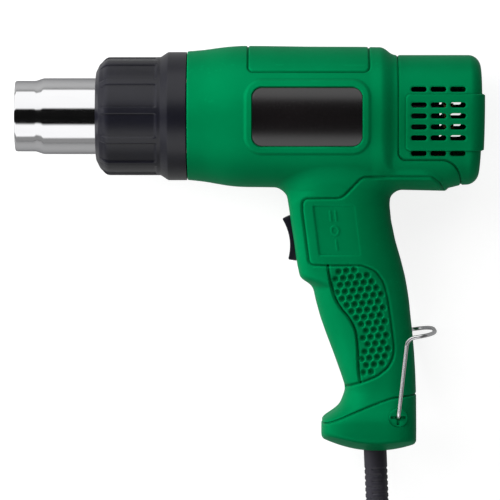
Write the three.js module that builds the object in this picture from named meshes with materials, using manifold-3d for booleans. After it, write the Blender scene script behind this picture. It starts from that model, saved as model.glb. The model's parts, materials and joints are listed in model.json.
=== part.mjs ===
// A corded hot air tool with a stepped steel nozzle, a ribbed heat collar, a two-part moulded housing with
// a pistol grip, a slotted rear cover, a three-position rocker, a foot cap, a swinging wire bail and its lead.
// It lies on its right side on a flat surface, as it would be laid down to be looked at from above.
// Lengths are in millimetres. The finished frame has +Z up, +X to the tool's rear and +Y to its top.
// The pieces are drawn in the tool's own frame: x runs back along the barrel from the housing's front face,
// y up from the barrel axis and z out of the left side from the mid plane between the two housing halves.

import * as THREE from 'three';
import { mergeVertices } from 'three/addons/utils/BufferGeometryUtils.js';
import Module from 'manifold-3d';

const wasm = await Module();
wasm.setup();

// How finely round sections are drawn
const BARREL_SIDES = 20;
const HANDLE_SIDES = 16;
const NOZZLE_SIDES = 24;
const COLLAR_SIDES = 24;
const MOTOR_SIDES = 16;
const SCREW_SIDES = 8;
const WIRE_SIDES = 5;

// Fits
const GAP = 0.3;
const WALL = 2.4;

// Nozzle tube
const NOZZLE_REACH = 85.9;
const NOZZLE_DIAMETER = 37.9;
const NOZZLE_WALL = 0.9;
const NOZZLE_TAIL = 20;
const TIP_DIAMETER = 35.3;
const TIP_LENGTH = 11;
const TIP_TAPER = 1.5;
const NOZZLE_FLANGE_DIAMETER = 49;
const NOZZLE_FLANGE_THICKNESS = 1.4;

// Heat collar
const COLLAR_LENGTH = 45.6;
const COLLAR_DIAMETER = 57.4;
const COLLAR_NOSE = 7;
const COLLAR_AIR_GAP = 1.5;
const COLLAR_FLANGE_DIAMETER = 64;
const COLLAR_FLANGE_LENGTH = 9.6;
const COLLAR_CONE_LENGTH = 3.8;
const RIB_COUNT = 12;
const RIB_WIDTH = 3.8;
const RIB_HEIGHT = 0.8;
const RIB_START = 4.2;
const RIB_LENGTH = 27.6;
const RIB_PHASE = 6.3;
const SPIGOT_LENGTH = 8;
const SPIGOT_DIAMETER = 53;
const SPIGOT_BORE = 46;

// Housing barrel
const FRONT_DIAMETER = 64;
const FRONT_WALL = 3;
const FLARE_LENGTH = 27;
const BODY_RISE = 35.1;
const BODY_DROP = 35.4;
const BODY_HALF_WIDTH = 33;
const BODY_LENGTH = 99.5;
const BODY_TAPER = 0.9;
const SHELF_END = 131.5;
const SHELF_DROP = 37.6;
const SHELF_TOP = 28;
const SHELF_CORNER = 6;
const BULKHEAD_START = 14;
const BULKHEAD_THICKNESS = 3;

// Rear cover
const REAR_RISE = 30.4;
const REAR_DROP = 34.2;
const REAR_HALF_WIDTH = 29.5;
const REAR_END = 146.6;
const REAR_CORNER = 5;
const COVER_START = 104.6;
const COVER_SEAM_DROP = 21.5;
const COVER_SEAM_BEND = 126;
const COVER_SEAM_END = 136.2;
const COVER_LIP = 4;
const LIP_WALL = 1.6;
const BAND_START = 108.2;
const BAND_TOP = 11.1;
const BAND_BOTTOM = 16.6;
const BAND_PROUD = 1.4;
const VENT_LENGTH = 7.8;
const VENT_HEIGHT = 2.6;
const VENT_FIRST_X = 114.5;
const VENT_MIDDLE_DROP = 2.2;
const VENT_PITCH_X = 9.65;
const VENT_PITCH_Y = 5.4;
const VENT_COLUMNS = 3;
const VENT_BAND_ROWS = 4;
const VENT_OUTER_ROW = 15.8;

// Handle and foot: front edge, rear edge and half width at depths below the barrel axis
const HANDLE_OUTLINE = [
  { at: 10, front: 46.0, rear: 104.0, half: 20.0, square: 2.6 },
  { at: 34.5, front: 44.5, rear: 106.0, half: 21.5, square: 2.6 },
  { at: 40.5, front: 49.4, rear: 101.6, half: 19.8, square: 2.6 },
  { at: 44, front: 50.3, rear: 100.6, half: 19.5, square: 2.6 },
  { at: 62, front: 53.0, rear: 103.6, half: 19.0, square: 2.6 },
  { at: 74, front: 54.7, rear: 107.1, half: 18.5, square: 2.6 },
  { at: 80, front: 56.2, rear: 108.5, half: 18.2, square: 2.6 },
  { at: 86, front: 62.6, rear: 109.7, half: 17.8, square: 2.7 },
  { at: 100, front: 66.2, rear: 111.4, half: 17.2, square: 2.8 },
  { at: 118, front: 72.5, rear: 113.2, half: 17.2, square: 2.8 },
  { at: 136, front: 78.6, rear: 114.1, half: 18.2, square: 3.0 },
  { at: 144, front: 76.1, rear: 114.2, half: 20.0, square: 3.4 },
  { at: 152, front: 67.1, rear: 114.2, half: 22.7, square: 4.2 },
  { at: 160, front: 67.1, rear: 114.1, half: 23.0, square: 4.5 },
  { at: 163, front: 70.8, rear: 113.5, half: 22.2, square: 4.2 },
  { at: 165.5, front: 79.0, rear: 107.5, half: 17.5, square: 3.4 },
  { at: 167.3, front: 87.2, rear: 100.4, half: 10.0, square: 2.6 },
];
const FOOT_FLOOR = 3.8;
// The seam between handle and foot, as depths along x
const FOOT_SEAM = [
  [55, 153.2],
  [67, 152.6],
  [74, 150.6],
  [83, 146.9],
  [92.5, 143.1],
  [99, 140.7],
  [104, 139.5],
  [114.2, 138.5],
  [125, 138.2],
];
const FOOT_LIP = 4;

// Label plate
const LABEL_LENGTH = 54.4;
const LABEL_HEIGHT = 29.2;
const LABEL_CORNER = 5;
const LABEL_MIDDLE_X = 59.5;
const LABEL_THICKNESS = 0.7;
const LABEL_SET_BACK = 0.2;

// Rocker switch
const SWITCH_DROP = 60.7;
const SWITCH_DEPTH = 19;
const SWITCH_FRAME = 1.6;
const ROCKER_LENGTH = 20.4;
const ROCKER_SKIRT = 1.2;
const ROCKER_WIDTH = 11;
const ROCKER_PROUD = 4.1;
const ROCKER_DISH = 2.1;
const ROCKER_ROOT = 2.6;
const ROCKER_PIVOT_DEPTH = 4;
const ROCKER_PIN_DIAMETER = 2.4;
const ROCKER_PIN_REACH = 1;
const ROCKER_WELL = 9;
const TERMINAL_LENGTH = 6;
const TERMINAL_SPREAD = 0.6;
const TERMINAL_THICKNESS = 0.8;
const TERMINAL_WIDTH = 4.8;
const SEAT_RIB_THICKNESS = 2;
const SEAT_RIB_DEPTH = 13;

// Heating element
const MICA_FRONT = 66;
const MICA_WALL = 0.7;
const ELEMENT_FRONT = 62;
const ELEMENT_REAR = 2;
const ELEMENT_PLATE = 0.8;
const ELEMENT_EAR = 4;
const ELEMENT_CORE = 24;
const COIL_WIRE = 1.8;
const COIL_TURNS = 7;
const COIL_STEPS = 8;
const HOLDER_THICKNESS = 3;
const HOLDER_HUB = 9;
const HOLDER_RIM = 2.5;
const HOLDER_SPOKE = 3;

// Motor and fan
const SHAFT_DIAMETER = 2.3;
const SHAFT_STICK_OUT = 2;
const FAN_CLEARANCE = 3;
const FAN_LENGTH = 12;
const FAN_DIAMETER = 53;
const FAN_HUB_DIAMETER = 11;
const FAN_BLADES = 7;
const FAN_BLADE_THICKNESS = 1.2;
const FAN_BLADE_PITCH = 38;
const MOUNT_SET_BACK = 13.5;
const MOUNT_RING_LENGTH = 6;
const MOUNT_WALL = 2.2;
const MOUNT_SLEEVE_LENGTH = 18;
const MOUNT_FRONT_WALL = 3;
const MOUNT_SPOKES = 4;
const MOUNT_SPOKE_WIDTH = 3;
const MOTOR_DIAMETER = 28;
const MOTOR_LENGTH = 32;
const MOTOR_WALL = 1.2;
const END_CAP_THICKNESS = 3.6;
const BUSH_DIAMETER = 6;
const BUSH_LENGTH = 4;
const ARMATURE_DIAMETER = 18.6;
const ARMATURE_LENGTH = 16;
const COMMUTATOR_DIAMETER = 8;
const COMMUTATOR_LENGTH = 5;
const MAGNET_THICKNESS = 2;
const MAGNET_ARC = 132;
const BOARD_DIAMETER = 23;
const BOARD_THICKNESS = 1.6;
const BOARD_POST_LENGTH = 2;
const BOARD_POST_SIZE = 2.4;
const BOARD_POST_RADIUS = 8;
const DIODE_SIZE = 3.4;

// Housing screws, at places chosen clear of what the housing holds
const POST_DIAMETER = 9.4;
const SCREW_DIAMETER = 3;
const SCREW_HEAD_DIAMETER = 5.8;
const SCREW_HEAD_THICKNESS = 2;
const SCREW_SLOT = 1;
const SCREW_SINK = 3.5;
const SCREW_BITE = 8;
const FRONT_POST_X = 9;
const TOP_POST_X = 59;
const TOP_POST_SINK = 7;
const GRIP_POSTS = [
  { x: 93, drop: 58 },
  { x: 99, drop: 97 },
];

// Lead, strain relief and clamp
const LEAD_DIAMETER = 7;
const SLEEVE_X = 93.8;
const SLEEVE_LEAN = 2.4;
const SLEEVE_DIAMETER = 11.5;
const SLEEVE_STRAIGHT = 30;
const SLEEVE_LENGTH = 50;
const SLEEVE_MOUTH_DIAMETER = 9.4;
const SLEEVE_HEAD_DIAMETER = 16;
const SLEEVE_HEAD_THICKNESS = 3;
const CLAMP_DROP = 127;
const CLAMP_WIDTH = 8;
const CLAMP_LENGTH = 23;
const CLAMP_THICKNESS = 6;
const CLAMP_SCREW_OFFSET = 8.6;
const CLAMP_SCREW_BITE = 7;
const LEAD_TOP_DROP = 118;
const WIRE_DIAMETER = 2.2;
// Wire routes on the mid plane, as places along x and depths below the barrel axis. The supply's and the
// motor's run in the handle; from there the motor's goes on past the barrel's step, and the element's
// is placed from the nozzle's tail
const SUPPLY_WIRE_ROUTE = [
  [85, 97],
  [79, 85],
];
const MOTOR_WIRE_ROUTE = [
  [88, 48.5],
  [95.5, 39],
];
const MOTOR_WIRE_PAST_STEP = [
  [-0.5, 28],
  [10.5, 23],
  [24.5, 20],
];
const ELEMENT_WIRE_ROUTE = [
  [60, 42],
  [50, 33],
  [32, 29],
  [16, 26],
  [7, 19],
  [0, 6],
  [-10, 1],
];

// Wire bail and its bushes
const BAIL_WIRE = 2.1;
const BAIL_PIVOT_X = 104.7;
const BAIL_PIVOT_DROP = 149.1;
const BAIL_ARM = 40.1;
const BAIL_LEAN = 6.1;
const BAIL_REACH = 14.5;
const BAIL_RISE = 9;
const BAIL_FOOT_RADIUS = 2.6;
const BAIL_KNEE_RADIUS = 4;
const BAIL_CORNER_RADIUS = 13;
const BAIL_END_DEPTH = 6;
const BUSH_FACE_DIAMETER = 9;
const BUSH_PROUD = 0.8;
const BUSH_DEPTH = 9;
const BUSH_SLOT_WIDTH = 1.4;
const BUSH_SLOT_DEPTH = 0.7;
const BUSH_SLOT_LENGTH = 7.4;

// Lead on the surface: a free stretch, a coil with its tie, a tail and a two-pin plug
const TIE_THICKNESS = 1;
const TIE_WIDTH = 12;
const LOOP_INNER_RADIUS = 29;
const LOOP_PITCH = 7.7;
const LOOP_TURNS = 6.5;
const LOOP_STEPS = 24;
const LOOP_SIDES = 6;
const LAYER_RISE = 7.6;
const TAIL_LENGTH = 42;
const PLUG_LENGTH = 48;
const PLUG_HALF_WIDTH = 17.6;
const PLUG_HALF_HEIGHT = 13;
const PLUG_BOOT_LENGTH = 17;
const PLUG_BOOT_DIAMETER = 11;
const PIN_DIAMETER = 4.8;
const PIN_LENGTH = 19;
const PIN_SPACING = 19;
const PIN_SOCKET = 8;
// The free stretch from the strain relief's mouth: sideways, onwards, and how much of its fall is done
const LEAD_ROUTE = [
  [0, 0, 0],
  [0.4, 9, 0],
  [0.9, 20, 0.02],
  [1.5, 34, 0.14],
  [1.9, 48, 0.36],
  [2.1, 62, 0.62],
  [2.2, 76, 0.85],
  [2.2, 90, 0.97],
  [2.1, 102, 1],
  [2.0, 112, 1],
];

// Sizes that follow from those above
const NOZZLE_RADIUS = NOZZLE_DIAMETER / 2;
const NOZZLE_INNER = NOZZLE_RADIUS - NOZZLE_WALL;
const FOOT_BOTTOM = HANDLE_OUTLINE[HANDLE_OUTLINE.length - 1].at;
const LEAD_RADIUS = LEAD_DIAMETER / 2;
const MOUNT_START = BODY_LENGTH - MOUNT_SET_BACK;
const FAN_START = MOUNT_START - FAN_CLEARANCE - FAN_LENGTH;
const SHAFT_FRONT = FAN_START - SHAFT_STICK_OUT;
const MOTOR_START = MOUNT_START + MOUNT_FRONT_WALL + GAP;
const MOTOR_END = MOTOR_START + MOTOR_LENGTH;
const MOTOR_RADIUS = MOTOR_DIAMETER / 2;
const SHAFT_RADIUS = SHAFT_DIAMETER / 2;
const FAR = 90;

const MATERIALS = {
  green: new THREE.MeshStandardMaterial({ color: 0x007d4a, roughness: 0.42, metalness: 0 }),
  black: new THREE.MeshStandardMaterial({ color: 0x2c2c30, roughness: 0.5, metalness: 0 }),
  label: new THREE.MeshStandardMaterial({ color: 0x1c1a1c, roughness: 0.25, metalness: 0 }),
  rubber: new THREE.MeshStandardMaterial({ color: 0x38343c, roughness: 0.65, metalness: 0 }),
  chrome: new THREE.MeshStandardMaterial({ color: 0xd8d8da, roughness: 0.12, metalness: 1 }),
  steel: new THREE.MeshStandardMaterial({ color: 0xb4b5b8, roughness: 0.3, metalness: 1 }),
  ferrite: new THREE.MeshStandardMaterial({ color: 0x4a4a4c, roughness: 0.6, metalness: 0.4 }),
  mica: new THREE.MeshStandardMaterial({ color: 0xb9a98a, roughness: 0.7, metalness: 0 }),
  ceramic: new THREE.MeshStandardMaterial({ color: 0xe6e0d2, roughness: 0.6, metalness: 0 }),
  brass: new THREE.MeshStandardMaterial({ color: 0xc2a14e, roughness: 0.3, metalness: 1 }),
  board: new THREE.MeshStandardMaterial({ color: 0x8a6b3c, roughness: 0.6, metalness: 0 }),
  wire: new THREE.MeshStandardMaterial({ color: 0x8f2f2a, roughness: 0.5, metalness: 0 }),
};

// Solids: closed meshes that can be joined and cut

function solid(geometry) {
  const bare = geometry.clone();
  bare.deleteAttribute('normal');
  bare.deleteAttribute('uv');
  const merged = mergeVertices(bare, 1e-4);
  const corners = merged.attributes.position.array;
  const at = (i) => new THREE.Vector3().fromArray(corners, 3 * i);
  const triangles = [];
  let volume = 0;
  for (let i = 0; i < merged.index.count; i += 3) {
    const [a, b, c] = merged.index.array.slice(i, i + 3);
    if (a === b || b === c || c === a) continue;
    triangles.push([a, b, c]);
    volume += at(a).dot(at(b).cross(at(c)));
  }
  const facing = volume < 0 ? triangles.map(([a, b, c]) => [a, c, b]) : triangles;
  return new wasm.Manifold(
    new wasm.Mesh({
      numProp: 3,
      vertProperties: new Float32Array(corners),
      triVerts: new Uint32Array(facing.flat()),
    })
  );
}

const join = (...parts) => parts.flat().reduce((whole, part) => whole.add(part));
const cut = (whole, ...tools) => tools.flat().reduce((left, tool) => left.subtract(tool), whole);
const meet = (a, b) => a.intersect(b);

function geometryOf(body) {
  const { vertProperties, triVerts } = body.getMesh();
  const geometry = new THREE.BufferGeometry();
  geometry.setAttribute('position', new THREE.Float32BufferAttribute(vertProperties, 3));
  geometry.setIndex(Array.from(triVerts));
  return geometry;
}

function piece(name, body, material) {
  const geometry = geometryOf(body);
  geometry.computeVertexNormals();
  const mesh = new THREE.Mesh(geometry, material);
  mesh.name = name;
  return mesh;
}

// A body rolled about the barrel axis
function rolled(body, degrees) {
  return solid(geometryOf(body).rotateX(THREE.MathUtils.degToRad(degrees)));
}

function box(x0, x1, y0, y1, z0, z1) {
  const geometry = new THREE.BoxGeometry(x1 - x0, y1 - y0, z1 - z0);
  return solid(geometry.translate((x0 + x1) / 2, (y0 + y1) / 2, (z0 + z1) / 2));
}

// A body turned about the barrel axis from [x, radius] points
function turned(points, sides = NOZZLE_SIDES) {
  const profile = points.map(([x, r]) => new THREE.Vector2(r, x));
  return solid(new THREE.LatheGeometry(profile, sides).rotateZ(-Math.PI / 2));
}

function rod(x0, x1, radius, sides = MOTOR_SIDES) {
  return turned([[x0, 0], [x0, radius], [x1, radius], [x1, 0]], sides);
}

function ring(x0, x1, inner, outer, sides = NOZZLE_SIDES) {
  return turned([[x0, inner], [x0, outer], [x1, outer], [x1, inner], [x0, inner]], sides);
}

// A round bar across the tool, parallel to z
function crossRod(x, y, z0, z1, radius, sides = SCREW_SIDES) {
  const geometry = new THREE.CylinderGeometry(radius, radius, z1 - z0, sides).rotateX(Math.PI / 2);
  return solid(geometry.translate(x, y, (z0 + z1) / 2));
}

// A side-view outline drawn out across the tool from z0 to z1
function prism(outline, z0 = -FAR, z1 = FAR, curveSegments = 4) {
  const corners = () => outline.map(([x, y]) => new THREE.Vector2(x, y));
  const shape = outline instanceof THREE.Shape ? outline : new THREE.Shape(corners());
  const options = { depth: z1 - z0, bevelEnabled: false, curveSegments };
  return solid(new THREE.ExtrudeGeometry(shape, options).translate(0, 0, z0));
}

function roundedRectangle(x, y, width, height, corner) {
  const shape = new THREE.Shape();
  const [left, right, low, high] = [x - width / 2, x + width / 2, y - height / 2, y + height / 2];
  shape.absarc(right - corner, high - corner, corner, 0, Math.PI / 2);
  shape.absarc(left + corner, high - corner, corner, Math.PI / 2, Math.PI);
  shape.absarc(left + corner, low + corner, corner, Math.PI, 1.5 * Math.PI);
  shape.absarc(right - corner, low + corner, corner, 1.5 * Math.PI, 2 * Math.PI);
  return shape;
}

// A skin over rings of points, closed at both ends
function loft(rings) {
  const count = rings[0].length;
  const points = rings.flat();
  const index = [];
  for (let i = 0; i + 1 < rings.length; i += 1) {
    for (let k = 0; k < count; k += 1) {
      const next = (k + 1) % count;
      const [a, b, c, d] = [i * count + k, i * count + next, (i + 1) * count + next, (i + 1) * count + k];
      index.push(a, b, c, a, c, d);
    }
  }
  const middle = (list) => list.reduce((sum, p) => sum.add(p), new THREE.Vector3()).divideScalar(count);
  const last = (rings.length - 1) * count;
  points.push(middle(rings[0]), middle(rings[rings.length - 1]));
  for (let k = 0; k < count; k += 1) {
    const next = (k + 1) % count;
    index.push(points.length - 2, next, k);
    index.push(points.length - 1, last + k, last + next);
  }
  const geometry = new THREE.BufferGeometry().setFromPoints(points);
  geometry.setIndex(index);
  return solid(geometry);
}

// Directions round an oval whose sides flatten as square rises above 2
function oval(square, count, draw) {
  return Array.from({ length: count }, (_, k) => {
    const angle = (2 * Math.PI * k) / count;
    const [c, s] = [Math.cos(angle), Math.sin(angle)];
    const bulge = (v) => Math.sign(v) * Math.abs(v) ** (2 / square);
    return draw(bulge(c), bulge(s));
  });
}

// The row of an outline table at a place between its entries
function rowAt(table, at) {
  const after = table.findIndex((row) => row.at >= at);
  if (after === 0) return { ...table[0], at };
  if (after < 0) return { ...table[table.length - 1], at };
  const [a, b] = [table[after - 1], table[after]];
  const share = (at - a.at) / (b.at - a.at);
  return Object.fromEntries(Object.keys(a).map((key) => [key, a[key] + share * (b[key] - a[key])]));
}

function rowsBetween(table, from, to) {
  const inside = table.filter((row) => row.at > from && row.at < to);
  return [rowAt(table, from), ...inside, rowAt(table, to)];
}

// A tube along a curve
function tube(curve, radius, sides, steps) {
  const section = new THREE.Shape(
    Array.from({ length: sides }, (_, k) => {
      const angle = (2 * Math.PI * k) / sides;
      return new THREE.Vector2(radius * Math.cos(angle), radius * Math.sin(angle));
    })
  );
  return solid(new THREE.ExtrudeGeometry(section, { steps, extrudePath: curve }));
}

function smoothTube(points, radius, sides, steps) {
  const curve = new THREE.CatmullRomCurve3(points.map((p) => new THREE.Vector3(...p)), false, 'centripetal');
  return tube(curve, radius, sides, steps);
}

// A bent or wound tube as rings round its centreline, carried from point to point without twisting
function wound(line, radius, sides) {
  const directions = line.map((point, i) => {
    const ahead = line[Math.min(i + 1, line.length - 1)];
    const behind = line[Math.max(i - 1, 0)];
    return ahead.clone().sub(behind).normalize();
  });
  const steepest = Math.abs(directions[0].z) > 0.9 ? new THREE.Vector3(1, 0, 0) : new THREE.Vector3(0, 0, 1);
  let across = steepest.cross(directions[0]).normalize();
  return loft(
    line.map((point, i) => {
      const turn = new THREE.Quaternion().setFromUnitVectors(directions[Math.max(i - 1, 0)], directions[i]);
      across = across.clone().applyQuaternion(turn);
      const up = directions[i].clone().cross(across);
      return Array.from({ length: sides }, (_, k) => {
        const angle = (2 * Math.PI * k) / sides;
        const [side, rise] = [radius * Math.cos(angle), radius * Math.sin(angle)];
        return point.clone().addScaledVector(across, side).addScaledVector(up, rise);
      });
    })
  );
}

// The least gap of a wound tube to its own other turns, measured on closely spaced points
function leastGap(line, diameter) {
  const points = new THREE.CatmullRomCurve3(line).getSpacedPoints(6 * line.length);
  const step = points[0].distanceTo(points[1]);
  const skip = Math.ceil((3 * diameter) / step);
  let least = Infinity;
  for (let i = 0; i < points.length; i += 1) {
    for (let j = i + skip; j < points.length; j += 1) {
      least = Math.min(least, points[i].distanceTo(points[j]));
    }
  }
  return least - diameter;
}

// The housing's outside: the barrel, its narrower rear and the handle, each grown or shrunk by an offset

const FRONT_RADIUS = FRONT_DIAMETER / 2;
const flareRow = (share) => ({
  rise: FRONT_RADIUS + share * (BODY_RISE - FRONT_RADIUS),
  drop: FRONT_RADIUS + share * (BODY_DROP - FRONT_RADIUS),
  half: FRONT_RADIUS + share * (BODY_HALF_WIDTH - FRONT_RADIUS),
  square: 2 + 0.1 * share,
});
const BARREL_OUTLINE = [
  { at: 0, ...flareRow(0) },
  { at: FLARE_LENGTH / 3, ...flareRow(0.33) },
  { at: (2 * FLARE_LENGTH) / 3, ...flareRow(0.74) },
  { at: FLARE_LENGTH, ...flareRow(1) },
  { ...flareRow(1), at: BODY_LENGTH, rise: BODY_RISE - BODY_TAPER },
  { ...flareRow(1), at: SHELF_END + 1, rise: BODY_RISE - BODY_TAPER, drop: SHELF_DROP },
];

function barrelRing(row, offset) {
  return oval(row.square, BARREL_SIDES, (c, s) => {
    const reach = (c > 0 ? row.rise : row.drop) + offset;
    return new THREE.Vector3(row.at, reach * c, (row.half + offset) * s);
  });
}

function barrel(offset, from = 0, to = SHELF_END + 1) {
  return loft(rowsBetween(BARREL_OUTLINE, from, to).map((row) => barrelRing(row, offset)));
}

// The barrel ends in a step, below which a shelf runs on under the rear cover
function barrelOutline(offset) {
  const shape = new THREE.Shape();
  const [step, shelf, end] = [BODY_LENGTH + offset, offset - SHELF_TOP, SHELF_END + offset];
  shape.moveTo(-FAR, FAR);
  shape.lineTo(step, FAR);
  shape.absarc(step + SHELF_CORNER, shelf + SHELF_CORNER, SHELF_CORNER, Math.PI, 1.5 * Math.PI);
  shape.lineTo(end, shelf);
  shape.lineTo(end, -FAR);
  shape.lineTo(-FAR, -FAR);
  return shape;
}

const REAR_START = BODY_LENGTH - 2 * COVER_LIP;

function rearSection(offset) {
  const size = { rise: REAR_RISE, drop: REAR_DROP, half: REAR_HALF_WIDTH, square: 2.5 };
  const corner = Math.max(REAR_CORNER + offset, GAP);
  const end = REAR_END + offset;
  const rounding = [0, 30, 60, 90].map((degrees) => {
    const angle = THREE.MathUtils.degToRad(degrees);
    const row = { ...size, at: end - corner + corner * Math.sin(angle) };
    return barrelRing(row, offset - corner * (1 - Math.cos(angle)));
  });
  return loft([barrelRing({ ...size, at: REAR_START }, offset), ...rounding]);
}

function handleRing(row, offset) {
  const middle = (row.front + row.rear) / 2;
  const reach = (row.rear - row.front) / 2 + offset;
  return oval(row.square, HANDLE_SIDES, (c, s) => {
    return new THREE.Vector3(middle + reach * c, -row.at, (row.half + offset) * s);
  });
}

function handle(offset, from = HANDLE_OUTLINE[0].at, to = FOOT_BOTTOM) {
  return loft(rowsBetween(HANDLE_OUTLINE, from, to).map((row) => handleRing(row, offset)));
}

function outside(offset, floor = 0) {
  return join(
    meet(barrel(offset), prism(barrelOutline(offset))),
    rearSection(offset),
    handle(offset, HANDLE_OUTLINE[0].at, FOOT_BOTTOM - floor)
  );
}

// How far the outside stands from the mid plane at a point seen from the side
function barrelSide(x, y) {
  const row = rowAt(BARREL_OUTLINE, x);
  const share = Math.abs(y) / (y > 0 ? row.rise : row.drop);
  return row.half * (1 - share ** row.square) ** (1 / row.square);
}

function handleSide(x, drop) {
  const row = rowAt(HANDLE_OUTLINE, drop);
  const share = Math.abs(x - (row.front + row.rear) / 2) / ((row.rear - row.front) / 2);
  return row.half * (1 - share ** row.square) ** (1 / row.square);
}

// Side-view regions that part the outside into housing, rear cover and foot

function coverRegion(shift) {
  const shape = new THREE.Shape();
  const [start, seam] = [COVER_START + shift, shift - COVER_SEAM_DROP];
  const corner = COVER_LIP;
  shape.moveTo(start, FAR);
  shape.lineTo(start, seam + corner);
  shape.absarc(start + corner, seam + corner, corner, Math.PI, 1.5 * Math.PI);
  shape.lineTo(COVER_SEAM_BEND + shift, seam);
  shape.quadraticCurveTo(COVER_SEAM_END - 2 + shift, seam, COVER_SEAM_END + shift, shift - REAR_DROP + 1);
  shape.lineTo(COVER_SEAM_END + 1 + shift, -FAR);
  shape.lineTo(2 * FAR, -FAR);
  shape.lineTo(2 * FAR, FAR);
  return prism(shape);
}

function footRegion(shift) {
  const seam = FOOT_SEAM.map(([x, drop]) => [x, shift - drop]);
  const [first, last] = [seam[0][0], seam[seam.length - 1][0]];
  return prism([...seam, [last, -3 * FAR], [first, -3 * FAR]]);
}

// The rocker switch sits square to the handle's front edge: u runs down that edge and v out of it

const SWITCH_EDGE = rowAt(HANDLE_OUTLINE, SWITCH_DROP).front;
const SWITCH_ABOVE = rowAt(HANDLE_OUTLINE, SWITCH_DROP - ROCKER_LENGTH / 2).front;
const SWITCH_BELOW = rowAt(HANDLE_OUTLINE, SWITCH_DROP + ROCKER_LENGTH / 2).front;
const SWITCH_TILT = Math.atan2(SWITCH_BELOW - SWITCH_ABOVE, ROCKER_LENGTH);

function atSwitch(u, v) {
  const [c, s] = [Math.cos(SWITCH_TILT), Math.sin(SWITCH_TILT)];
  return [SWITCH_EDGE + u * s - v * c, -SWITCH_DROP - u * c - v * s];
}

const switchBox = (u0, u1, v0, v1, half) =>
  prism([atSwitch(u0, v0), atSwitch(u1, v0), atSwitch(u1, v1), atSwitch(u0, v1)], -half, half);

const ROCKER_HALF = ROCKER_LENGTH / 2;
const ROCKER_BASE = ROCKER_HALF + ROCKER_SKIRT;
const ROCKER_SWEEP = Math.hypot(ROCKER_BASE, ROCKER_PIVOT_DEPTH + GAP) + GAP;
const SWITCH_HALF = ROCKER_SWEEP + SWITCH_FRAME;
const SWITCH_HALF_WIDTH = ROCKER_WIDTH / 2 + GAP + SWITCH_FRAME;
const ROCKER_PIVOT = atSwitch(0, -ROCKER_PIVOT_DEPTH);

function rocker() {
  const dish = [-1, -0.75, -0.5, -0.25, 0, 0.25, 0.5, 0.75, 1].map((share) => {
    return [share * ROCKER_HALF, ROCKER_PROUD - ROCKER_DISH * (1 - share * share)];
  });
  const root = [[ROCKER_HALF, -ROCKER_ROOT], [-ROCKER_HALF, -ROCKER_ROOT]];
  const outline = [[-ROCKER_BASE, GAP], ...dish, [ROCKER_BASE, GAP], ...root];
  const key = prism(outline.map(([u, v]) => atSwitch(u, v)), -ROCKER_WIDTH / 2, ROCKER_WIDTH / 2);
  const reach = ROCKER_WIDTH / 2 + GAP + ROCKER_PIN_REACH;
  const hub = crossRod(...ROCKER_PIVOT, -ROCKER_WIDTH / 2, ROCKER_WIDTH / 2, ROCKER_PIVOT_DEPTH - GAP);
  return join(key, hub, crossRod(...ROCKER_PIVOT, -reach, reach, ROCKER_PIN_DIAMETER / 2));
}

function switchBody() {
  const shell = switchBox(-SWITCH_HALF, SWITCH_HALF, -SWITCH_DEPTH, 0, SWITCH_HALF_WIDTH);
  const wellHalf = ROCKER_WIDTH / 2 + GAP;
  const well = meet(
    crossRod(...ROCKER_PIVOT, -wellHalf, wellHalf, ROCKER_SWEEP, NOZZLE_SIDES),
    switchBox(-FAR, FAR, -ROCKER_WELL, FAR, FAR)
  );
  const pinHole = crossRod(...ROCKER_PIVOT, -FAR, FAR, ROCKER_PIN_DIAMETER / 2 + GAP);
  const terminals = [-TERMINAL_SPREAD, 0, TERMINAL_SPREAD].map((share) => {
    const [u, half] = [share * SWITCH_HALF, TERMINAL_THICKNESS / 2];
    return switchBox(u - half, u + half, -SWITCH_DEPTH - TERMINAL_LENGTH, 1 - SWITCH_DEPTH, TERMINAL_WIDTH / 2);
  });
  return join(cut(shell, well, pinHole), terminals);
}

// Housing screws, from the right side into posts of the left half

const HOUSING_SCREWS = [
  { x: FRONT_POST_X, y: (SPIGOT_DIAMETER + GAP) / 2, side: barrelSide },
  { x: FRONT_POST_X, y: -(SPIGOT_DIAMETER + GAP) / 2, side: barrelSide },
  { x: TOP_POST_X, y: BODY_RISE - TOP_POST_SINK, side: barrelSide },
  ...GRIP_POSTS.map(({ x, drop }) => ({ x, y: -drop, side: (at) => handleSide(at, drop) })),
].map((screw) => ({ ...screw, head: SCREW_SINK - screw.side(screw.x, screw.y) }));

function housingScrew({ x, y, head }) {
  const cap = crossRod(x, y, head, head + SCREW_HEAD_THICKNESS, SCREW_HEAD_DIAMETER / 2);
  const shank = crossRod(x, y, head + SCREW_HEAD_THICKNESS - GAP, SCREW_BITE, SCREW_DIAMETER / 2);
  const [long, wide] = [SCREW_HEAD_DIAMETER / 3, SCREW_SLOT / 2];
  const slot = box(x - long, x + long, y - wide, y + wide, head - SCREW_SLOT, head + SCREW_SLOT);
  return cut(join(cap, shank), slot);
}

function screwHole({ x, y, head }) {
  const seat = head + SCREW_HEAD_THICKNESS + GAP;
  const sink = crossRod(x, y, -FAR, seat, SCREW_HEAD_DIAMETER / 2 + GAP);
  return join(sink, crossRod(x, y, seat - GAP, SCREW_BITE + GAP, SCREW_DIAMETER / 2 + GAP));
}

// The lead's way through the foot leans a little from the vertical

const LEAN = THREE.MathUtils.degToRad(SLEEVE_LEAN);
const leadX = (drop) => SLEEVE_X + (drop - FOOT_BOTTOM) * Math.tan(LEAN);

// A body turned about the lead's axis from [distance below the foot, radius] points
function turnedOnLead(points, sides = 18) {
  const profile = points.map(([below, r]) => new THREE.Vector2(r, -below));
  const geometry = new THREE.LatheGeometry(profile, sides).rotateZ(LEAN);
  return solid(geometry.translate(SLEEVE_X, -FOOT_BOTTOM, 0));
}

function leadRod(from, to, radius, sides = 12) {
  return turnedOnLead([[from, 0], [from, radius], [to, radius], [to, 0]], sides);
}

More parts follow.
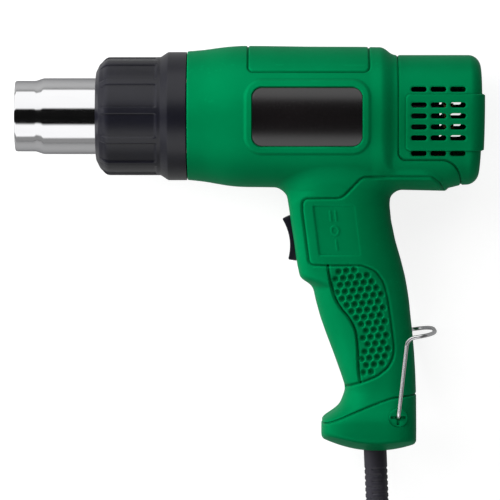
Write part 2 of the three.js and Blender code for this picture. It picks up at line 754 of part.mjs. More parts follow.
const CLAMP_X = leadX(CLAMP_DROP);
const CLAMP_SCREWS = [CLAMP_X - CLAMP_SCREW_OFFSET, CLAMP_X + CLAMP_SCREW_OFFSET];

function clampSpan(z0, z1, length) {
  const [long, wide] = [length / 2, CLAMP_WIDTH / 2];
  return box(CLAMP_X - long, CLAMP_X + long, -CLAMP_DROP - wide, wide - CLAMP_DROP, z0, z1);
}

const leadGroove = () => leadRod(LEAD_TOP_DROP - FOOT_BOTTOM - 1, FOOT_FLOOR, LEAD_RADIUS + GAP);

function clampBar() {
  const holes = CLAMP_SCREWS.map((x) => crossRod(x, -CLAMP_DROP, -FAR, FAR, SCREW_DIAMETER / 2 + GAP));
  return cut(clampSpan(GAP, CLAMP_THICKNESS, CLAMP_LENGTH), leadGroove(), holes);
}

function clampScrew(x) {
  const head = CLAMP_THICKNESS + GAP;
  const cap = crossRod(x, -CLAMP_DROP, head, head + SCREW_HEAD_THICKNESS, SCREW_HEAD_DIAMETER / 2);
  return join(cap, crossRod(x, -CLAMP_DROP, -CLAMP_SCREW_BITE, head + GAP, SCREW_DIAMETER / 2));
}

// Housing

function housing() {
  const hollow = join(
    meet(barrel(-WALL, FRONT_WALL), prism(barrelOutline(-WALL))),
    rearSection(-WALL),
    handle(-WALL, HANDLE_OUTLINE[0].at, FOOT_BOTTOM - FOOT_FLOOR)
  );
  const shell = cut(outside(0), hollow);
  const within = outside(GAP - WALL);
  const spigot = ring(-SPIGOT_LENGTH, FRONT_WALL, SPIGOT_BORE / 2, SPIGOT_DIAMETER / 2);
  const bulkhead = meet(
    ring(BULKHEAD_START, BULKHEAD_START + BULKHEAD_THICKNESS, NOZZLE_RADIUS + GAP, FAR),
    within
  );
  const posts = HOUSING_SCREWS.map(({ x, y }) => meet(crossRod(x, y, -FAR, FAR, POST_DIAMETER / 2), within));
  const ribInner = SWITCH_HALF + GAP;
  const ribOuter = ribInner + SEAT_RIB_THICKNESS;
  const ribs = [
    switchBox(-ribOuter, -ribInner, -SEAT_RIB_DEPTH, -GAP, FAR),
    switchBox(ribInner, ribOuter, -SEAT_RIB_DEPTH, -GAP, FAR),
  ].map((rib) => meet(rib, within));
  const saddle = meet(clampSpan(-FAR, 0, FAR), within);
  const solidWalls = join(shell, spigot, bulkhead, posts, ribs, saddle);
  const switchWidth = SWITCH_HALF_WIDTH + GAP;
  const clampHole = SCREW_DIAMETER / 2 + GAP;
  const openings = [
    rod(-FAR, FRONT_WALL + GAP, SPIGOT_BORE / 2, NOZZLE_SIDES),
    switchBox(-ribInner, ribInner, -SWITCH_DEPTH - TERMINAL_LENGTH, FAR / 6, switchWidth),
    leadGroove(),
    ...CLAMP_SCREWS.map((x) => crossRod(x, -CLAMP_DROP, -CLAMP_SCREW_BITE - GAP, FAR, clampHole)),
    ...HOUSING_SCREWS.map(screwHole),
    labelRecess(),
    coverRegion(-GAP),
    footRegion(GAP),
  ];
  return cut(solidWalls, openings);
}

function labelOutline(margin) {
  const [length, height] = [LABEL_LENGTH + 2 * margin, LABEL_HEIGHT + 2 * margin];
  return roundedRectangle(LABEL_MIDDLE_X, 0, length, height, LABEL_CORNER + margin);
}

function labelRecess() {
  return cut(prism(labelOutline(GAP), 0, FAR), barrel(-LABEL_SET_BACK - LABEL_THICKNESS - GAP));
}

function labelPlate() {
  const skin = cut(barrel(-LABEL_SET_BACK), barrel(-LABEL_SET_BACK - LABEL_THICKNESS));
  return meet(skin, prism(labelOutline(0), 0, FAR));
}

// Rear cover with its raised band, vent slots and the lip that enters the housing

function rearCover() {
  const raised = meet(rearSection(BAND_PROUD), box(BAND_START, 2 * FAR, -BAND_BOTTOM, BAND_TOP, -FAR, FAR));
  const skin = cut(join(rearSection(0), raised), rearSection(-WALL));
  const wall = meet(skin, coverRegion(0));
  const lipOuter = rearSection(-WALL - GAP);
  const lipInner = rearSection(-WALL - GAP - LIP_WALL);
  const upper = [COVER_LIP - COVER_SEAM_DROP, FAR, -FAR, FAR];
  const lip = meet(cut(lipOuter, lipInner), box(COVER_START - COVER_LIP, COVER_START + COVER_LIP, ...upper));
  const rootBox = box(COVER_START + GAP, COVER_START + COVER_LIP, ...upper);
  const root = meet(cut(rearSection(-GAP), lipInner), rootBox);
  return cut(join(wall, lip, root), vents());
}

function vents() {
  const middle = (VENT_BAND_ROWS - 1) / 2;
  const inner = Array.from({ length: VENT_BAND_ROWS }, (_, k) => (k - middle) * VENT_PITCH_Y);
  const rows = [-VENT_OUTER_ROW, ...inner, VENT_OUTER_ROW];
  const slots = [];
  for (let column = 0; column < VENT_COLUMNS; column += 1) {
    for (const row of rows) {
      const x = VENT_FIRST_X + column * VENT_PITCH_X;
      const shape = new THREE.Shape();
      const half = VENT_LENGTH / 2 - VENT_HEIGHT / 2;
      shape.absarc(x + half, row - VENT_MIDDLE_DROP, VENT_HEIGHT / 2, -Math.PI / 2, Math.PI / 2);
      shape.absarc(x - half, row - VENT_MIDDLE_DROP, VENT_HEIGHT / 2, Math.PI / 2, 1.5 * Math.PI);
      slots.push(prism(shape, -FAR, FAR, 1));
    }
  }
  return slots;
}

// Foot cap with the strain relief's hole and the bail's bushes

const BUSH_FACE = handleSide(BAIL_PIVOT_X, BAIL_PIVOT_DROP) + BUSH_PROUD;
const bushRod = (radius) => crossRod(BAIL_PIVOT_X, -BAIL_PIVOT_DROP, -FAR, FAR, radius, MOTOR_SIDES);

function foot() {
  const hollow = handle(-WALL, HANDLE_OUTLINE[0].at, FOOT_BOTTOM - FOOT_FLOOR);
  const wall = meet(cut(handle(0), hollow), footRegion(0));
  const lipInner = handle(-WALL - GAP - LIP_WALL);
  const lip = meet(cut(handle(-WALL - GAP), lipInner), cut(footRegion(FOOT_LIP), footRegion(-FOOT_LIP)));
  const root = meet(cut(handle(-GAP), lipInner), cut(footRegion(-GAP), footRegion(-FOOT_LIP)));
  const between = BUSH_FACE - BUSH_DEPTH - GAP;
  const sides = cut(handle(-GAP), box(-FAR, 2 * FAR, -3 * FAR, FAR, -between, between));
  const bosses = meet(bushRod(BUSH_FACE_DIAMETER / 2 + WALL), sides);
  const hole = leadRod(-3 * FOOT_FLOOR, FOOT_FLOOR, SLEEVE_DIAMETER / 2 + GAP, 18);
  return cut(join(wall, lip, root, meet(bosses, footRegion(0))), hole, bushRod(BUSH_FACE_DIAMETER / 2 + GAP));
}

function bailBush(side) {
  const [x, y] = [BAIL_PIVOT_X, -BAIL_PIVOT_DROP];
  const [inner, outer] = [BUSH_FACE - BUSH_DEPTH, BUSH_FACE];
  const span = (a, b) => (side > 0 ? [a, b] : [-b, -a]);
  const body = crossRod(x, y, ...span(inner, outer), BUSH_FACE_DIAMETER / 2, MOTOR_SIDES);
  const bore = crossRod(x, y, -FAR, FAR, BAIL_WIRE / 2 + GAP);
  const [slotHalf, slotLength] = [BUSH_SLOT_WIDTH / 2, BUSH_SLOT_LENGTH / 2];
  const deep = span(outer - BUSH_SLOT_DEPTH, outer + 1);
  const across = box(x - slotLength, x + slotLength, y - slotHalf, y + slotHalf, ...deep);
  const upright = box(x - slotHalf, x + slotHalf, y - slotLength, y + slotLength, ...deep);
  return cut(body, bore, across, upright);
}

// The bail's wire: in through a bush, up one arm, back and across behind the handle, and down the other arm

function roundedPath(corners, radii) {
  const path = new THREE.CurvePath();
  let from = corners[0];
  for (let i = 1; i + 1 < corners.length; i += 1) {
    const [before, corner, after] = [corners[i - 1], corners[i], corners[i + 1]];
    const start = corner.clone().add(before.clone().sub(corner).setLength(radii[i - 1]));
    const end = corner.clone().add(after.clone().sub(corner).setLength(radii[i - 1]));
    path.add(new THREE.LineCurve3(from, start));
    path.add(new THREE.QuadraticBezierCurve3(start, corner, end));
    from = end;
  }
  path.add(new THREE.LineCurve3(from, corners[corners.length - 1]));
  return path;
}

function bail() {
  const lean = THREE.MathUtils.degToRad(BAIL_LEAN);
  const rise = THREE.MathUtils.degToRad(BAIL_RISE);
  const knee = [BAIL_PIVOT_X + BAIL_ARM * Math.sin(lean), BAIL_ARM * Math.cos(lean) - BAIL_PIVOT_DROP];
  const tip = [knee[0] + BAIL_REACH * Math.cos(rise), knee[1] + BAIL_REACH * Math.sin(rise)];
  const armSide = BUSH_FACE + BAIL_FOOT_RADIUS;
  const loopSide = BODY_HALF_WIDTH - BAIL_WIRE / 2;
  const half = [
    [BAIL_PIVOT_X, -BAIL_PIVOT_DROP, BUSH_FACE - BAIL_END_DEPTH],
    [BAIL_PIVOT_X, -BAIL_PIVOT_DROP, armSide],
    [...knee, loopSide],
    [...tip, loopSide],
  ];
  const other = half.toReversed().map(([x, y, z]) => [x, y, -z]);
  const corners = [...half, ...other].map((p) => new THREE.Vector3(...p));
  const bends = [BAIL_FOOT_RADIUS, BAIL_KNEE_RADIUS, BAIL_CORNER_RADIUS];
  return wound(roundedPath(corners, [...bends, ...bends.toReversed()]).getPoints(4), BAIL_WIRE / 2, 8);
}

// Nozzle and collar

const FLANGE_BACK = -SPIGOT_LENGTH - GAP;
const FLANGE_FRONT = FLANGE_BACK - NOZZLE_FLANGE_THICKNESS;

function nozzleTube() {
  const tipStart = -NOZZLE_REACH;
  const tipEnd = tipStart + TIP_LENGTH;
  const tipRadius = TIP_DIAMETER / 2;
  const flangeRadius = NOZZLE_FLANGE_DIAMETER / 2;
  return turned([
    [tipStart, tipRadius - NOZZLE_WALL],
    [tipStart, tipRadius],
    [tipEnd, tipRadius],
    [tipEnd + TIP_TAPER, NOZZLE_RADIUS],
    [FLANGE_FRONT, NOZZLE_RADIUS],
    [FLANGE_FRONT, flangeRadius],
    [FLANGE_BACK, flangeRadius],
    [FLANGE_BACK, NOZZLE_RADIUS],
    [NOZZLE_TAIL, NOZZLE_RADIUS],
    [NOZZLE_TAIL, NOZZLE_INNER],
    [tipEnd + TIP_TAPER, NOZZLE_INNER],
    [tipEnd, tipRadius - NOZZLE_WALL],
    [tipStart, tipRadius - NOZZLE_WALL],
  ], NOZZLE_SIDES);
}

function heatCollar() {
  const radius = COLLAR_DIAMETER / 2;
  const flangeRadius = COLLAR_FLANGE_DIAMETER / 2;
  const bore = NOZZLE_RADIUS + COLLAR_AIR_GAP;
  const counterbore = SPIGOT_DIAMETER / 2 + GAP;
  const shoulder = FLANGE_FRONT - GAP;
  const front = -COLLAR_LENGTH;
  const body = turned([
    [front, bore],
    [front + 0.06 * COLLAR_NOSE, radius - 0.92 * COLLAR_NOSE],
    [front + 0.24 * COLLAR_NOSE, radius - 0.58 * COLLAR_NOSE],
    [front + 0.53 * COLLAR_NOSE, radius - 0.24 * COLLAR_NOSE],
    [front + COLLAR_NOSE, radius],
    [-COLLAR_FLANGE_LENGTH - COLLAR_CONE_LENGTH, radius],
    [-COLLAR_FLANGE_LENGTH, flangeRadius],
    [-GAP, flangeRadius],
    [-GAP, counterbore],
    [shoulder, counterbore],
    [shoulder, bore],
    [front, bore],
  ], COLLAR_SIDES);
  const ribs = Array.from({ length: RIB_COUNT }, (_, k) => {
    const start = front + RIB_START;
    const reach = radius + RIB_HEIGHT;
    const geometry = new THREE.BoxGeometry(RIB_LENGTH, RIB_WIDTH, reach - bore - 2);
    geometry.translate(start + RIB_LENGTH / 2, 0, (reach + bore + 2) / 2);
    return solid(geometry.rotateX(-THREE.MathUtils.degToRad(RIB_PHASE) + (2 * Math.PI * k) / RIB_COUNT));
  });
  const nose = turned([
    [front, 0],
    [front, radius - COLLAR_NOSE],
    [front + COLLAR_NOSE, radius + RIB_HEIGHT],
    [0, radius + RIB_HEIGHT],
    [0, 0],
  ], COLLAR_SIDES);
  return join(body, ribs.map((rib) => meet(rib, nose)));
}

// Heating element

const MICA_OUTER = NOZZLE_INNER - GAP;
const MICA_INNER = MICA_OUTER - MICA_WALL;
const EAR_HALF = MICA_INNER - GAP;
const CORE_HALF = ELEMENT_CORE / 2;

// A mica plate with wide ears at both ends, standing along y, with a slot for its crossing partner
function elementPlate(slotFront) {
  const [front, rear] = [-ELEMENT_FRONT, -ELEMENT_REAR];
  const half = ELEMENT_PLATE / 2;
  const ears = [
    box(front, front + ELEMENT_EAR, -EAR_HALF, EAR_HALF, -half, half),
    box(rear - ELEMENT_EAR, rear, -EAR_HALF, EAR_HALF, -half, half),
  ];
  const plate = join(box(front, rear, -CORE_HALF, CORE_HALF, -half, half), ears);
  const middle = (front + rear) / 2;
  const slotHalf = half + GAP;
  const slot = slotFront
    ? box(front - 1, middle + GAP / 2, -slotHalf, slotHalf, -FAR, FAR)
    : box(middle - GAP / 2, rear + 1, -slotHalf, slotHalf, -FAR, FAR);
  return cut(plate, slot);
}

function heatingCoil() {
  const radius = (CORE_HALF + GAP + COIL_WIRE / 2) / Math.cos(Math.PI / COIL_STEPS);
  const start = -ELEMENT_FRONT + ELEMENT_EAR + COIL_WIRE;
  const end = -ELEMENT_REAR - ELEMENT_EAR - COIL_WIRE;
  const steps = COIL_STEPS * COIL_TURNS;
  const line = Array.from({ length: steps + 1 }, (_, k) => {
    const angle = (2 * Math.PI * COIL_TURNS * k) / steps;
    const x = start + ((end - start) * k) / steps;
    return new THREE.Vector3(x, radius * Math.cos(angle), radius * Math.sin(angle));
  });
  const straight = (a, b) => b.clone().sub(a).setLength(COIL_WIRE);
  line.unshift(line[0].clone().sub(straight(line[0], line[1])));
  line.push(line[line.length - 1].clone().add(straight(line[line.length - 2], line[line.length - 1])));
  return { body: wound(line, COIL_WIRE / 2, WIRE_SIDES), gap: leastGap(line, COIL_WIRE) };
}

function elementHolder() {
  const start = GAP - ELEMENT_REAR;
  const end = start + HOLDER_THICKNESS;
  const rim = ring(start, end, EAR_HALF - HOLDER_RIM, EAR_HALF);
  const spokes = [0, 60, 120].map((degrees) => {
    const spoke = box(start, end, 1 - EAR_HALF, EAR_HALF - 1, -HOLDER_SPOKE / 2, HOLDER_SPOKE / 2);
    return rolled(spoke, degrees);
  });
  return join(rim, rod(start, end, HOLDER_HUB / 2), spokes);
}

// Motor, fan and their mount

function motorMount() {
  const end = MOUNT_START + MOUNT_RING_LENGTH;
  const sleeveOuter = MOTOR_RADIUS + GAP + MOUNT_WALL;
  const slab = box(MOUNT_START, end, -FAR, FAR, -FAR, FAR);
  const rim = meet(cut(barrel(-WALL - GAP), barrel(-WALL - GAP - MOUNT_WALL)), slab);
  const sleeve = turned([
    [MOUNT_START, BUSH_DIAMETER / 2 + 2 * GAP],
    [MOUNT_START, sleeveOuter],
    [MOUNT_START + MOUNT_SLEEVE_LENGTH, sleeveOuter],
    [MOUNT_START + MOUNT_SLEEVE_LENGTH, MOTOR_RADIUS + GAP],
    [MOTOR_START - GAP, MOTOR_RADIUS + GAP],
    [MOTOR_START - GAP, BUSH_DIAMETER / 2 + 2 * GAP],
    [MOUNT_START, BUSH_DIAMETER / 2 + 2 * GAP],
  ], MOTOR_SIDES);
  const reach = meet(barrel(-WALL - GAP - MOUNT_WALL / 2), slab);
  const spokes = Array.from({ length: MOUNT_SPOKES }, (_, k) => {
    const half = MOUNT_SPOKE_WIDTH / 2;
    const spoke = box(MOUNT_START, end, sleeveOuter - MOUNT_WALL / 2, FAR, -half, half);
    return meet(rolled(spoke, 45 + (360 * k) / MOUNT_SPOKES), reach);
  });
  return join(rim, sleeve, spokes);
}

function motorCan() {
  const inner = MOTOR_RADIUS - MOTOR_WALL;
  const neck = BUSH_DIAMETER / 2 + GAP;
  return turned([
    [MOTOR_START, neck],
    [MOTOR_START, MOTOR_RADIUS],
    [MOTOR_END, MOTOR_RADIUS],
    [MOTOR_END, inner],
    [MOTOR_START + MOTOR_WALL, inner],
    [MOTOR_START + MOTOR_WALL, neck],
    [MOTOR_START, neck],
  ], MOTOR_SIDES);
}

const END_CAP_START = MOTOR_END + GAP;
const END_CAP_END = END_CAP_START + END_CAP_THICKNESS;
const BOARD_START = END_CAP_END + BOARD_POST_LENGTH + GAP;

function motorEndCap() {
  const cap = ring(END_CAP_START, END_CAP_END, BUSH_DIAMETER / 2 + GAP, MOTOR_RADIUS, MOTOR_SIDES);
  const half = BOARD_POST_SIZE / 2;
  const posts = [BOARD_POST_RADIUS, -BOARD_POST_RADIUS].map((y) => {
    return box(END_CAP_END - 1, END_CAP_END + BOARD_POST_LENGTH, y - half, y + half, -half, half);
  });
  return join(cap, posts);
}

function bush(start) {
  return ring(start, start + BUSH_LENGTH, SHAFT_RADIUS + GAP, BUSH_DIAMETER / 2, MOTOR_SIDES);
}

const FRONT_BUSH_START = MOTOR_START - (BUSH_LENGTH - MOTOR_WALL) / 2;
const REAR_BUSH_START = END_CAP_START - (BUSH_LENGTH - END_CAP_THICKNESS) / 2;
const SHAFT_END = REAR_BUSH_START + BUSH_LENGTH;

function armature() {
  const start = FRONT_BUSH_START + BUSH_LENGTH + 2 * GAP;
  const stackEnd = start + ARMATURE_LENGTH;
  const commutatorStart = REAR_BUSH_START - 2 * GAP - COMMUTATOR_LENGTH;
  const bore = SHAFT_RADIUS + GAP;
  return turned([
    [start, bore],
    [start, ARMATURE_DIAMETER / 2],
    [stackEnd, ARMATURE_DIAMETER / 2],
    [stackEnd, COMMUTATOR_DIAMETER / 3],
    [commutatorStart, COMMUTATOR_DIAMETER / 3],
    [commutatorStart, COMMUTATOR_DIAMETER / 2],
    [commutatorStart + COMMUTATOR_LENGTH, COMMUTATOR_DIAMETER / 2],
    [commutatorStart + COMMUTATOR_LENGTH, bore],
    [start, bore],
  ], MOTOR_SIDES);
}

function magnet(turn) {
  const outer = MOTOR_RADIUS - MOTOR_WALL - GAP;
  const shape = new THREE.Shape();
  const half = THREE.MathUtils.degToRad(MAGNET_ARC / 2);
  shape.absarc(0, 0, outer, -half, half);
  shape.absarc(0, 0, outer - MAGNET_THICKNESS, half, -half, true);
  const options = { depth: ARMATURE_LENGTH, bevelEnabled: false, curveSegments: 6 };
  const geometry = new THREE.ExtrudeGeometry(shape, options);
  geometry.rotateY(Math.PI / 2).rotateX(turn);
  return solid(geometry.translate(FRONT_BUSH_START + BUSH_LENGTH + 2 * GAP, 0, 0));
}

function fan() {
  const end = FAN_START + FAN_LENGTH;
  const hub = ring(FAN_START, end, SHAFT_RADIUS + GAP, FAN_HUB_DIAMETER / 2, MOTOR_SIDES);
  const reach = FAN_DIAMETER / 2;
  const blades = Array.from({ length: FAN_BLADES }, (_, k) => {
    const chord = FAN_LENGTH / Math.cos(THREE.MathUtils.degToRad(FAN_BLADE_PITCH));
    const geometry = new THREE.BoxGeometry(chord, reach, FAN_BLADE_THICKNESS);
    geometry.translate(0, FAN_HUB_DIAMETER / 4 + reach / 2, 0);
    geometry.rotateY(THREE.MathUtils.degToRad(FAN_BLADE_PITCH));
    geometry.rotateX((2 * Math.PI * k) / FAN_BLADES);
    return solid(geometry.translate(FAN_START + FAN_LENGTH / 2, 0, 0));
  });
  const core = rod(FAN_START - 1, end + 1, (FAN_HUB_DIAMETER / 2 + SHAFT_RADIUS) / 2);
  const swept = cut(rod(FAN_START, end, reach), core);
  return join(hub, blades.map((blade) => meet(blade, swept)));
}

function rectifierBoard() {
  const end = BOARD_START + BOARD_THICKNESS;
  const diodes = [45, 135, 225, 315].map((degrees) => {
    const half = DIODE_SIZE / 2;
    const out = BOARD_DIAMETER / 4;
    const diode = box(end - GAP, end + DIODE_SIZE, out - half, out + half, -half, half);
    return rolled(diode, degrees);
  });
  return join(rod(BOARD_START, end, BOARD_DIAMETER / 2, NOZZLE_SIDES), diodes);
}

// Lead inside the handle, strain relief and inner wires

function strainRelief() {
  const head = FOOT_FLOOR + GAP + (SLEEVE_HEAD_DIAMETER / 2) * Math.tan(LEAN);
  const bore = LEAD_RADIUS + GAP;
  const radius = SLEEVE_DIAMETER / 2;
  return turnedOnLead([
    [-head - SLEEVE_HEAD_THICKNESS, bore],
    [-head - SLEEVE_HEAD_THICKNESS, SLEEVE_HEAD_DIAMETER / 2],
    [-head, SLEEVE_HEAD_DIAMETER / 2],
    [-head, radius],
    [SLEEVE_STRAIGHT, radius],
    [SLEEVE_LENGTH, SLEEVE_MOUTH_DIAMETER / 2],
    [SLEEVE_LENGTH, bore],
    [-head - SLEEVE_HEAD_THICKNESS, bore],
  ], 20);
}

const terminal = (share, away) => atSwitch(share * SWITCH_HALF, -SWITCH_DEPTH - TERMINAL_LENGTH - away);

function supplyWire(z) {
  const top = leadX(LEAD_TOP_DROP);
  return smoothTube([
    [top, GAP - LEAD_TOP_DROP, z],
    [top - 1, 8 - LEAD_TOP_DROP, z],
    ...SUPPLY_WIRE_ROUTE.map(([x, drop]) => [x, -drop, 2 * z]),
    [...terminal(TERMINAL_SPREAD, 3), z],
    [...terminal(TERMINAL_SPREAD, GAP), z],
  ], WIRE_DIAMETER / 2, WIRE_SIDES, 14);
}

function motorWire() {
  const rim = BOARD_DIAMETER / 2 + GAP;
  const end = BOARD_START + BOARD_THICKNESS / 2;
  return smoothTube([
    [...terminal(0, GAP), 0],
    [...terminal(0, 5), 0],
    ...MOTOR_WIRE_ROUTE.map(([x, drop]) => [x, -drop, 0]),
    ...MOTOR_WIRE_PAST_STEP.map(([x, drop]) => [BODY_LENGTH + x, -drop, 0]),
    [end, -rim - 4, 0],
    [end, -rim, 0],
  ], WIRE_DIAMETER / 2, WIRE_SIDES, 20);
}

function elementWire() {
  const end = GAP - ELEMENT_REAR + HOLDER_THICKNESS + GAP;
  return smoothTube([
    [...terminal(-TERMINAL_SPREAD, GAP), 0],
    [...terminal(-TERMINAL_SPREAD, 4), 0],
    ...ELEMENT_WIRE_ROUTE.map(([x, drop]) => [NOZZLE_TAIL + x, -drop, 0]),
    [end, 0, 0],
  ], WIRE_DIAMETER / 2, WIRE_SIDES, 22);
}

// The tool, and its place on the surface

const tool = new THREE.Group();
const { green, black, label, rubber, chrome, steel } = MATERIALS;
const { ferrite, mica, ceramic, brass, board, wire } = MATERIALS;
const housingBody = housing();
tool.add(piece('housing_left', meet(housingBody, box(-FAR, 2 * FAR, -3 * FAR, FAR, GAP / 2, FAR)), green));
tool.add(piece('housing_right', meet(housingBody, box(-FAR, 2 * FAR, -3 * FAR, FAR, -FAR, -GAP / 2)), green));
tool.add(piece('rear_cover', rearCover(), green));
tool.add(piece('foot_cap', foot(), green));
tool.add(piece('label_plate', labelPlate(), label));
tool.add(piece('heat_collar', heatCollar(), black));
tool.add(piece('nozzle_tube', nozzleTube(), chrome));
tool.add(piece('mica_sleeve', ring(-MICA_FRONT, NOZZLE_TAIL - 1, MICA_INNER, MICA_OUTER), mica));
tool.add(piece('element_plate_1', elementPlate(true), mica));
tool.add(piece('element_plate_2', rolled(elementPlate(false), 90), mica));
const winding = heatingCoil();
tool.add(piece('heating_coil', winding.body, steel));
tool.add(piece('element_holder', elementHolder(), ceramic));
tool.add(piece('motor_mount', motorMount(), black));
tool.add(piece('motor_can', motorCan(), steel));
tool.add(piece('motor_end_cap', motorEndCap(), black));
tool.add(piece('motor_bush_front', bush(FRONT_BUSH_START), brass));
tool.add(piece('motor_bush_rear', bush(REAR_BUSH_START), brass));
tool.add(piece('motor_magnet_1', magnet(0), ferrite));
tool.add(piece('motor_magnet_2', magnet(Math.PI), ferrite));
tool.add(piece('motor_shaft', rod(SHAFT_FRONT, SHAFT_END, SHAFT_RADIUS, 12), steel));
tool.add(piece('armature', armature(), steel));
tool.add(piece('fan', fan(), black));
tool.add(piece('rectifier_board', rectifierBoard(), board));
tool.add(piece('switch_body', switchBody(), black));
tool.add(piece('rocker', rocker(), black));
HOUSING_SCREWS.forEach((screw, k) => tool.add(piece(`housing_screw_${k + 1}`, housingScrew(screw), steel)));
tool.add(piece('clamp_bar', clampBar(), black));
CLAMP_SCREWS.forEach((x, k) => tool.add(piece(`clamp_screw_${k + 1}`, clampScrew(x), steel)));
tool.add(piece('bail_bush_left', bailBush(1), green));
tool.add(piece('bail_bush_right', bailBush(-1), green));
tool.add(piece('wire_bail', bail(), chrome));
tool.add(piece('strain_relief', strainRelief(), rubber));
tool.add(piece('lead_inside', leadRod(LEAD_TOP_DROP - FOOT_BOTTOM, SLEEVE_LENGTH, LEAD_RADIUS), rubber));
tool.add(piece('supply_wire_1', supplyWire(1.6), wire));
tool.add(piece('supply_wire_2', supplyWire(-1.6), wire));
tool.add(piece('motor_wire', motorWire(), wire));
tool.add(piece('element_wire', elementWire(), wire));
tool.position.set(
  (NOZZLE_REACH - REAR_END - BAND_PROUD) / 2,
  (FOOT_BOTTOM - BODY_RISE) / 2,
  BODY_HALF_WIDTH
);

// The lead on the surface, in the finished frame

const lead = new THREE.Group();
const mouth = new THREE.Vector3(SLEEVE_X, -FOOT_BOTTOM, 0).add(tool.position);
mouth.x += SLEEVE_LENGTH * Math.sin(LEAN);
mouth.y -= SLEEVE_LENGTH * Math.cos(LEAN);
const LIFT = TIE_THICKNESS + GAP + LEAD_RADIUS;
const FALL = mouth.z - LIFT;
const onRoute = ([aside, onwards, fallen]) => {
  return new THREE.Vector3(mouth.x + aside, mouth.y - onwards, mouth.z - FALL * fallen);
};
const routeEnd = onRoute(LEAD_ROUTE[LEAD_ROUTE.length - 1]);

// The coil spirals in on the surface, climbs a layer where the spiral turns, and spirals out again on top
const HALF_TURNS = LOOP_TURNS / 2;
const LOOP_OUTER_RADIUS = LOOP_INNER_RADIUS + HALF_TURNS * LOOP_PITCH;
const loopMiddle = new THREE.Vector3(routeEnd.x - LOOP_OUTER_RADIUS, routeEnd.y - LEAD_DIAMETER - GAP, 0);

function loopPoint(turn) {
  const fromMiddle = turn - HALF_TURNS;
  const radius = LOOP_INNER_RADIUS + Math.abs(fromMiddle) * LOOP_PITCH;
  const angle = -2 * Math.PI * turn;
  const climb = THREE.MathUtils.smoothstep(fromMiddle, -0.25, 0.25);
  const height = LIFT + LAYER_RISE * climb;
  const [x, y] = [radius * Math.cos(angle), radius * Math.sin(angle)];
  return new THREE.Vector3(loopMiddle.x + x, loopMiddle.y + y, height);
}

function loopLine() {
  const steps = Math.round(LOOP_TURNS * LOOP_STEPS);
  const turns = Array.from({ length: steps + 1 }, (_, k) => loopPoint((LOOP_TURNS * k) / steps));
  const stub = (a, b) => b.clone().sub(a).setZ(0).setLength(LEAD_DIAMETER);
  const first = turns[0].clone().sub(stub(turns[0], loopPoint(0.002)));
  const last = turns[steps].clone().add(stub(loopPoint(LOOP_TURNS - 0.002), turns[steps]));
  return [first, ...turns, last];
}

const loops = loopLine();
const loopEnd = loops[loops.length - 1];
const loopAway = loopEnd.clone().sub(loops[loops.length - 2]).normalize();

function leadTube() {
  const points = LEAD_ROUTE.map(onRoute);
  points[0].y -= GAP;
  const curve = new THREE.CatmullRomCurve3(points, false, 'centripetal');
  return tube(curve, LEAD_RADIUS, 10, 10);
}

// The tail leaves the coil's top layer for the plug
const tailStart = loopEnd.clone().addScaledVector(loopAway, GAP);
const plugBack = new THREE.Vector3(tailStart.x, tailStart.y + TAIL_LENGTH, PLUG_HALF_HEIGHT);

function tail() {
  const nearPlug = plugBack.clone().setY(plugBack.y - LEAD_DIAMETER);
  const middle = tailStart.clone().lerp(plugBack, 0.5);
  const beforeMiddle = tailStart.clone().addScaledVector(loopAway, LEAD_DIAMETER);
  const curve = new THREE.CatmullRomCurve3(
    [tailStart, beforeMiddle, middle, nearPlug, plugBack.clone().setY(plugBack.y - GAP)], false, 'centripetal'
  );
  return tube(curve, LEAD_RADIUS, 10, 5);
}

function plugSection(along, halfWidth, halfHeight) {
  return oval(2.6, 20, (c, s) => {
    return new THREE.Vector3(plugBack.x + halfWidth * c, plugBack.y + along, plugBack.z + halfHeight * s);
  });
}

function plug() {
  const boot = PLUG_BOOT_DIAMETER / 2;
  const shoulder = (PLUG_BOOT_LENGTH + PLUG_LENGTH) / 2;
  const body = loft([
    plugSection(0, boot - 1, boot - 1),
    plugSection(PLUG_BOOT_LENGTH, boot, boot),
    plugSection(PLUG_BOOT_LENGTH + 3, boot + 4, boot + 2.5),
    plugSection(shoulder, PLUG_HALF_WIDTH - 1.5, PLUG_HALF_HEIGHT - 0.6),
    plugSection(PLUG_LENGTH - 1, PLUG_HALF_WIDTH, PLUG_HALF_HEIGHT),
    plugSection(PLUG_LENGTH, PLUG_HALF_WIDTH - 0.6, PLUG_HALF_HEIGHT - 0.6),
  ]);
  return cut(body, [1, -1].map((side) => plugPin(side, GAP)));
}

function plugPin(side, margin) {
  const radius = PIN_DIAMETER / 2 + margin;
  const from = plugBack.y + PLUG_LENGTH - PIN_SOCKET - margin;
  const to = plugBack.y + PLUG_LENGTH + PIN_LENGTH;
  const geometry = new THREE.CylinderGeometry(radius, radius, to - from, 14);
  return solid(geometry.translate(plugBack.x + (side * PIN_SPACING) / 2, (from + to) / 2, plugBack.z));
}

// The tie goes round the turns on the coil's side nearest the tool
function tie() {
  const margin = 4 * GAP;
  const nearest = LOOP_INNER_RADIUS - LEAD_RADIUS - margin;
  const furthest = LOOP_OUTER_RADIUS + LEAD_RADIUS;
  const top = LIFT + LAYER_RISE + LEAD_RADIUS + GAP;
  const half = TIE_WIDTH / 2;
  const [x, y] = [loopMiddle.x, loopMiddle.y];
  const [low, high] = [y + nearest, y + furthest];
  const strap = box(x - half, x + half, low - TIE_THICKNESS, high + TIE_THICKNESS, 0, top + TIE_THICKNESS);
  return cut(strap, box(x - TIE_WIDTH, x + TIE_WIDTH, low, high, TIE_THICKNESS, top));
}

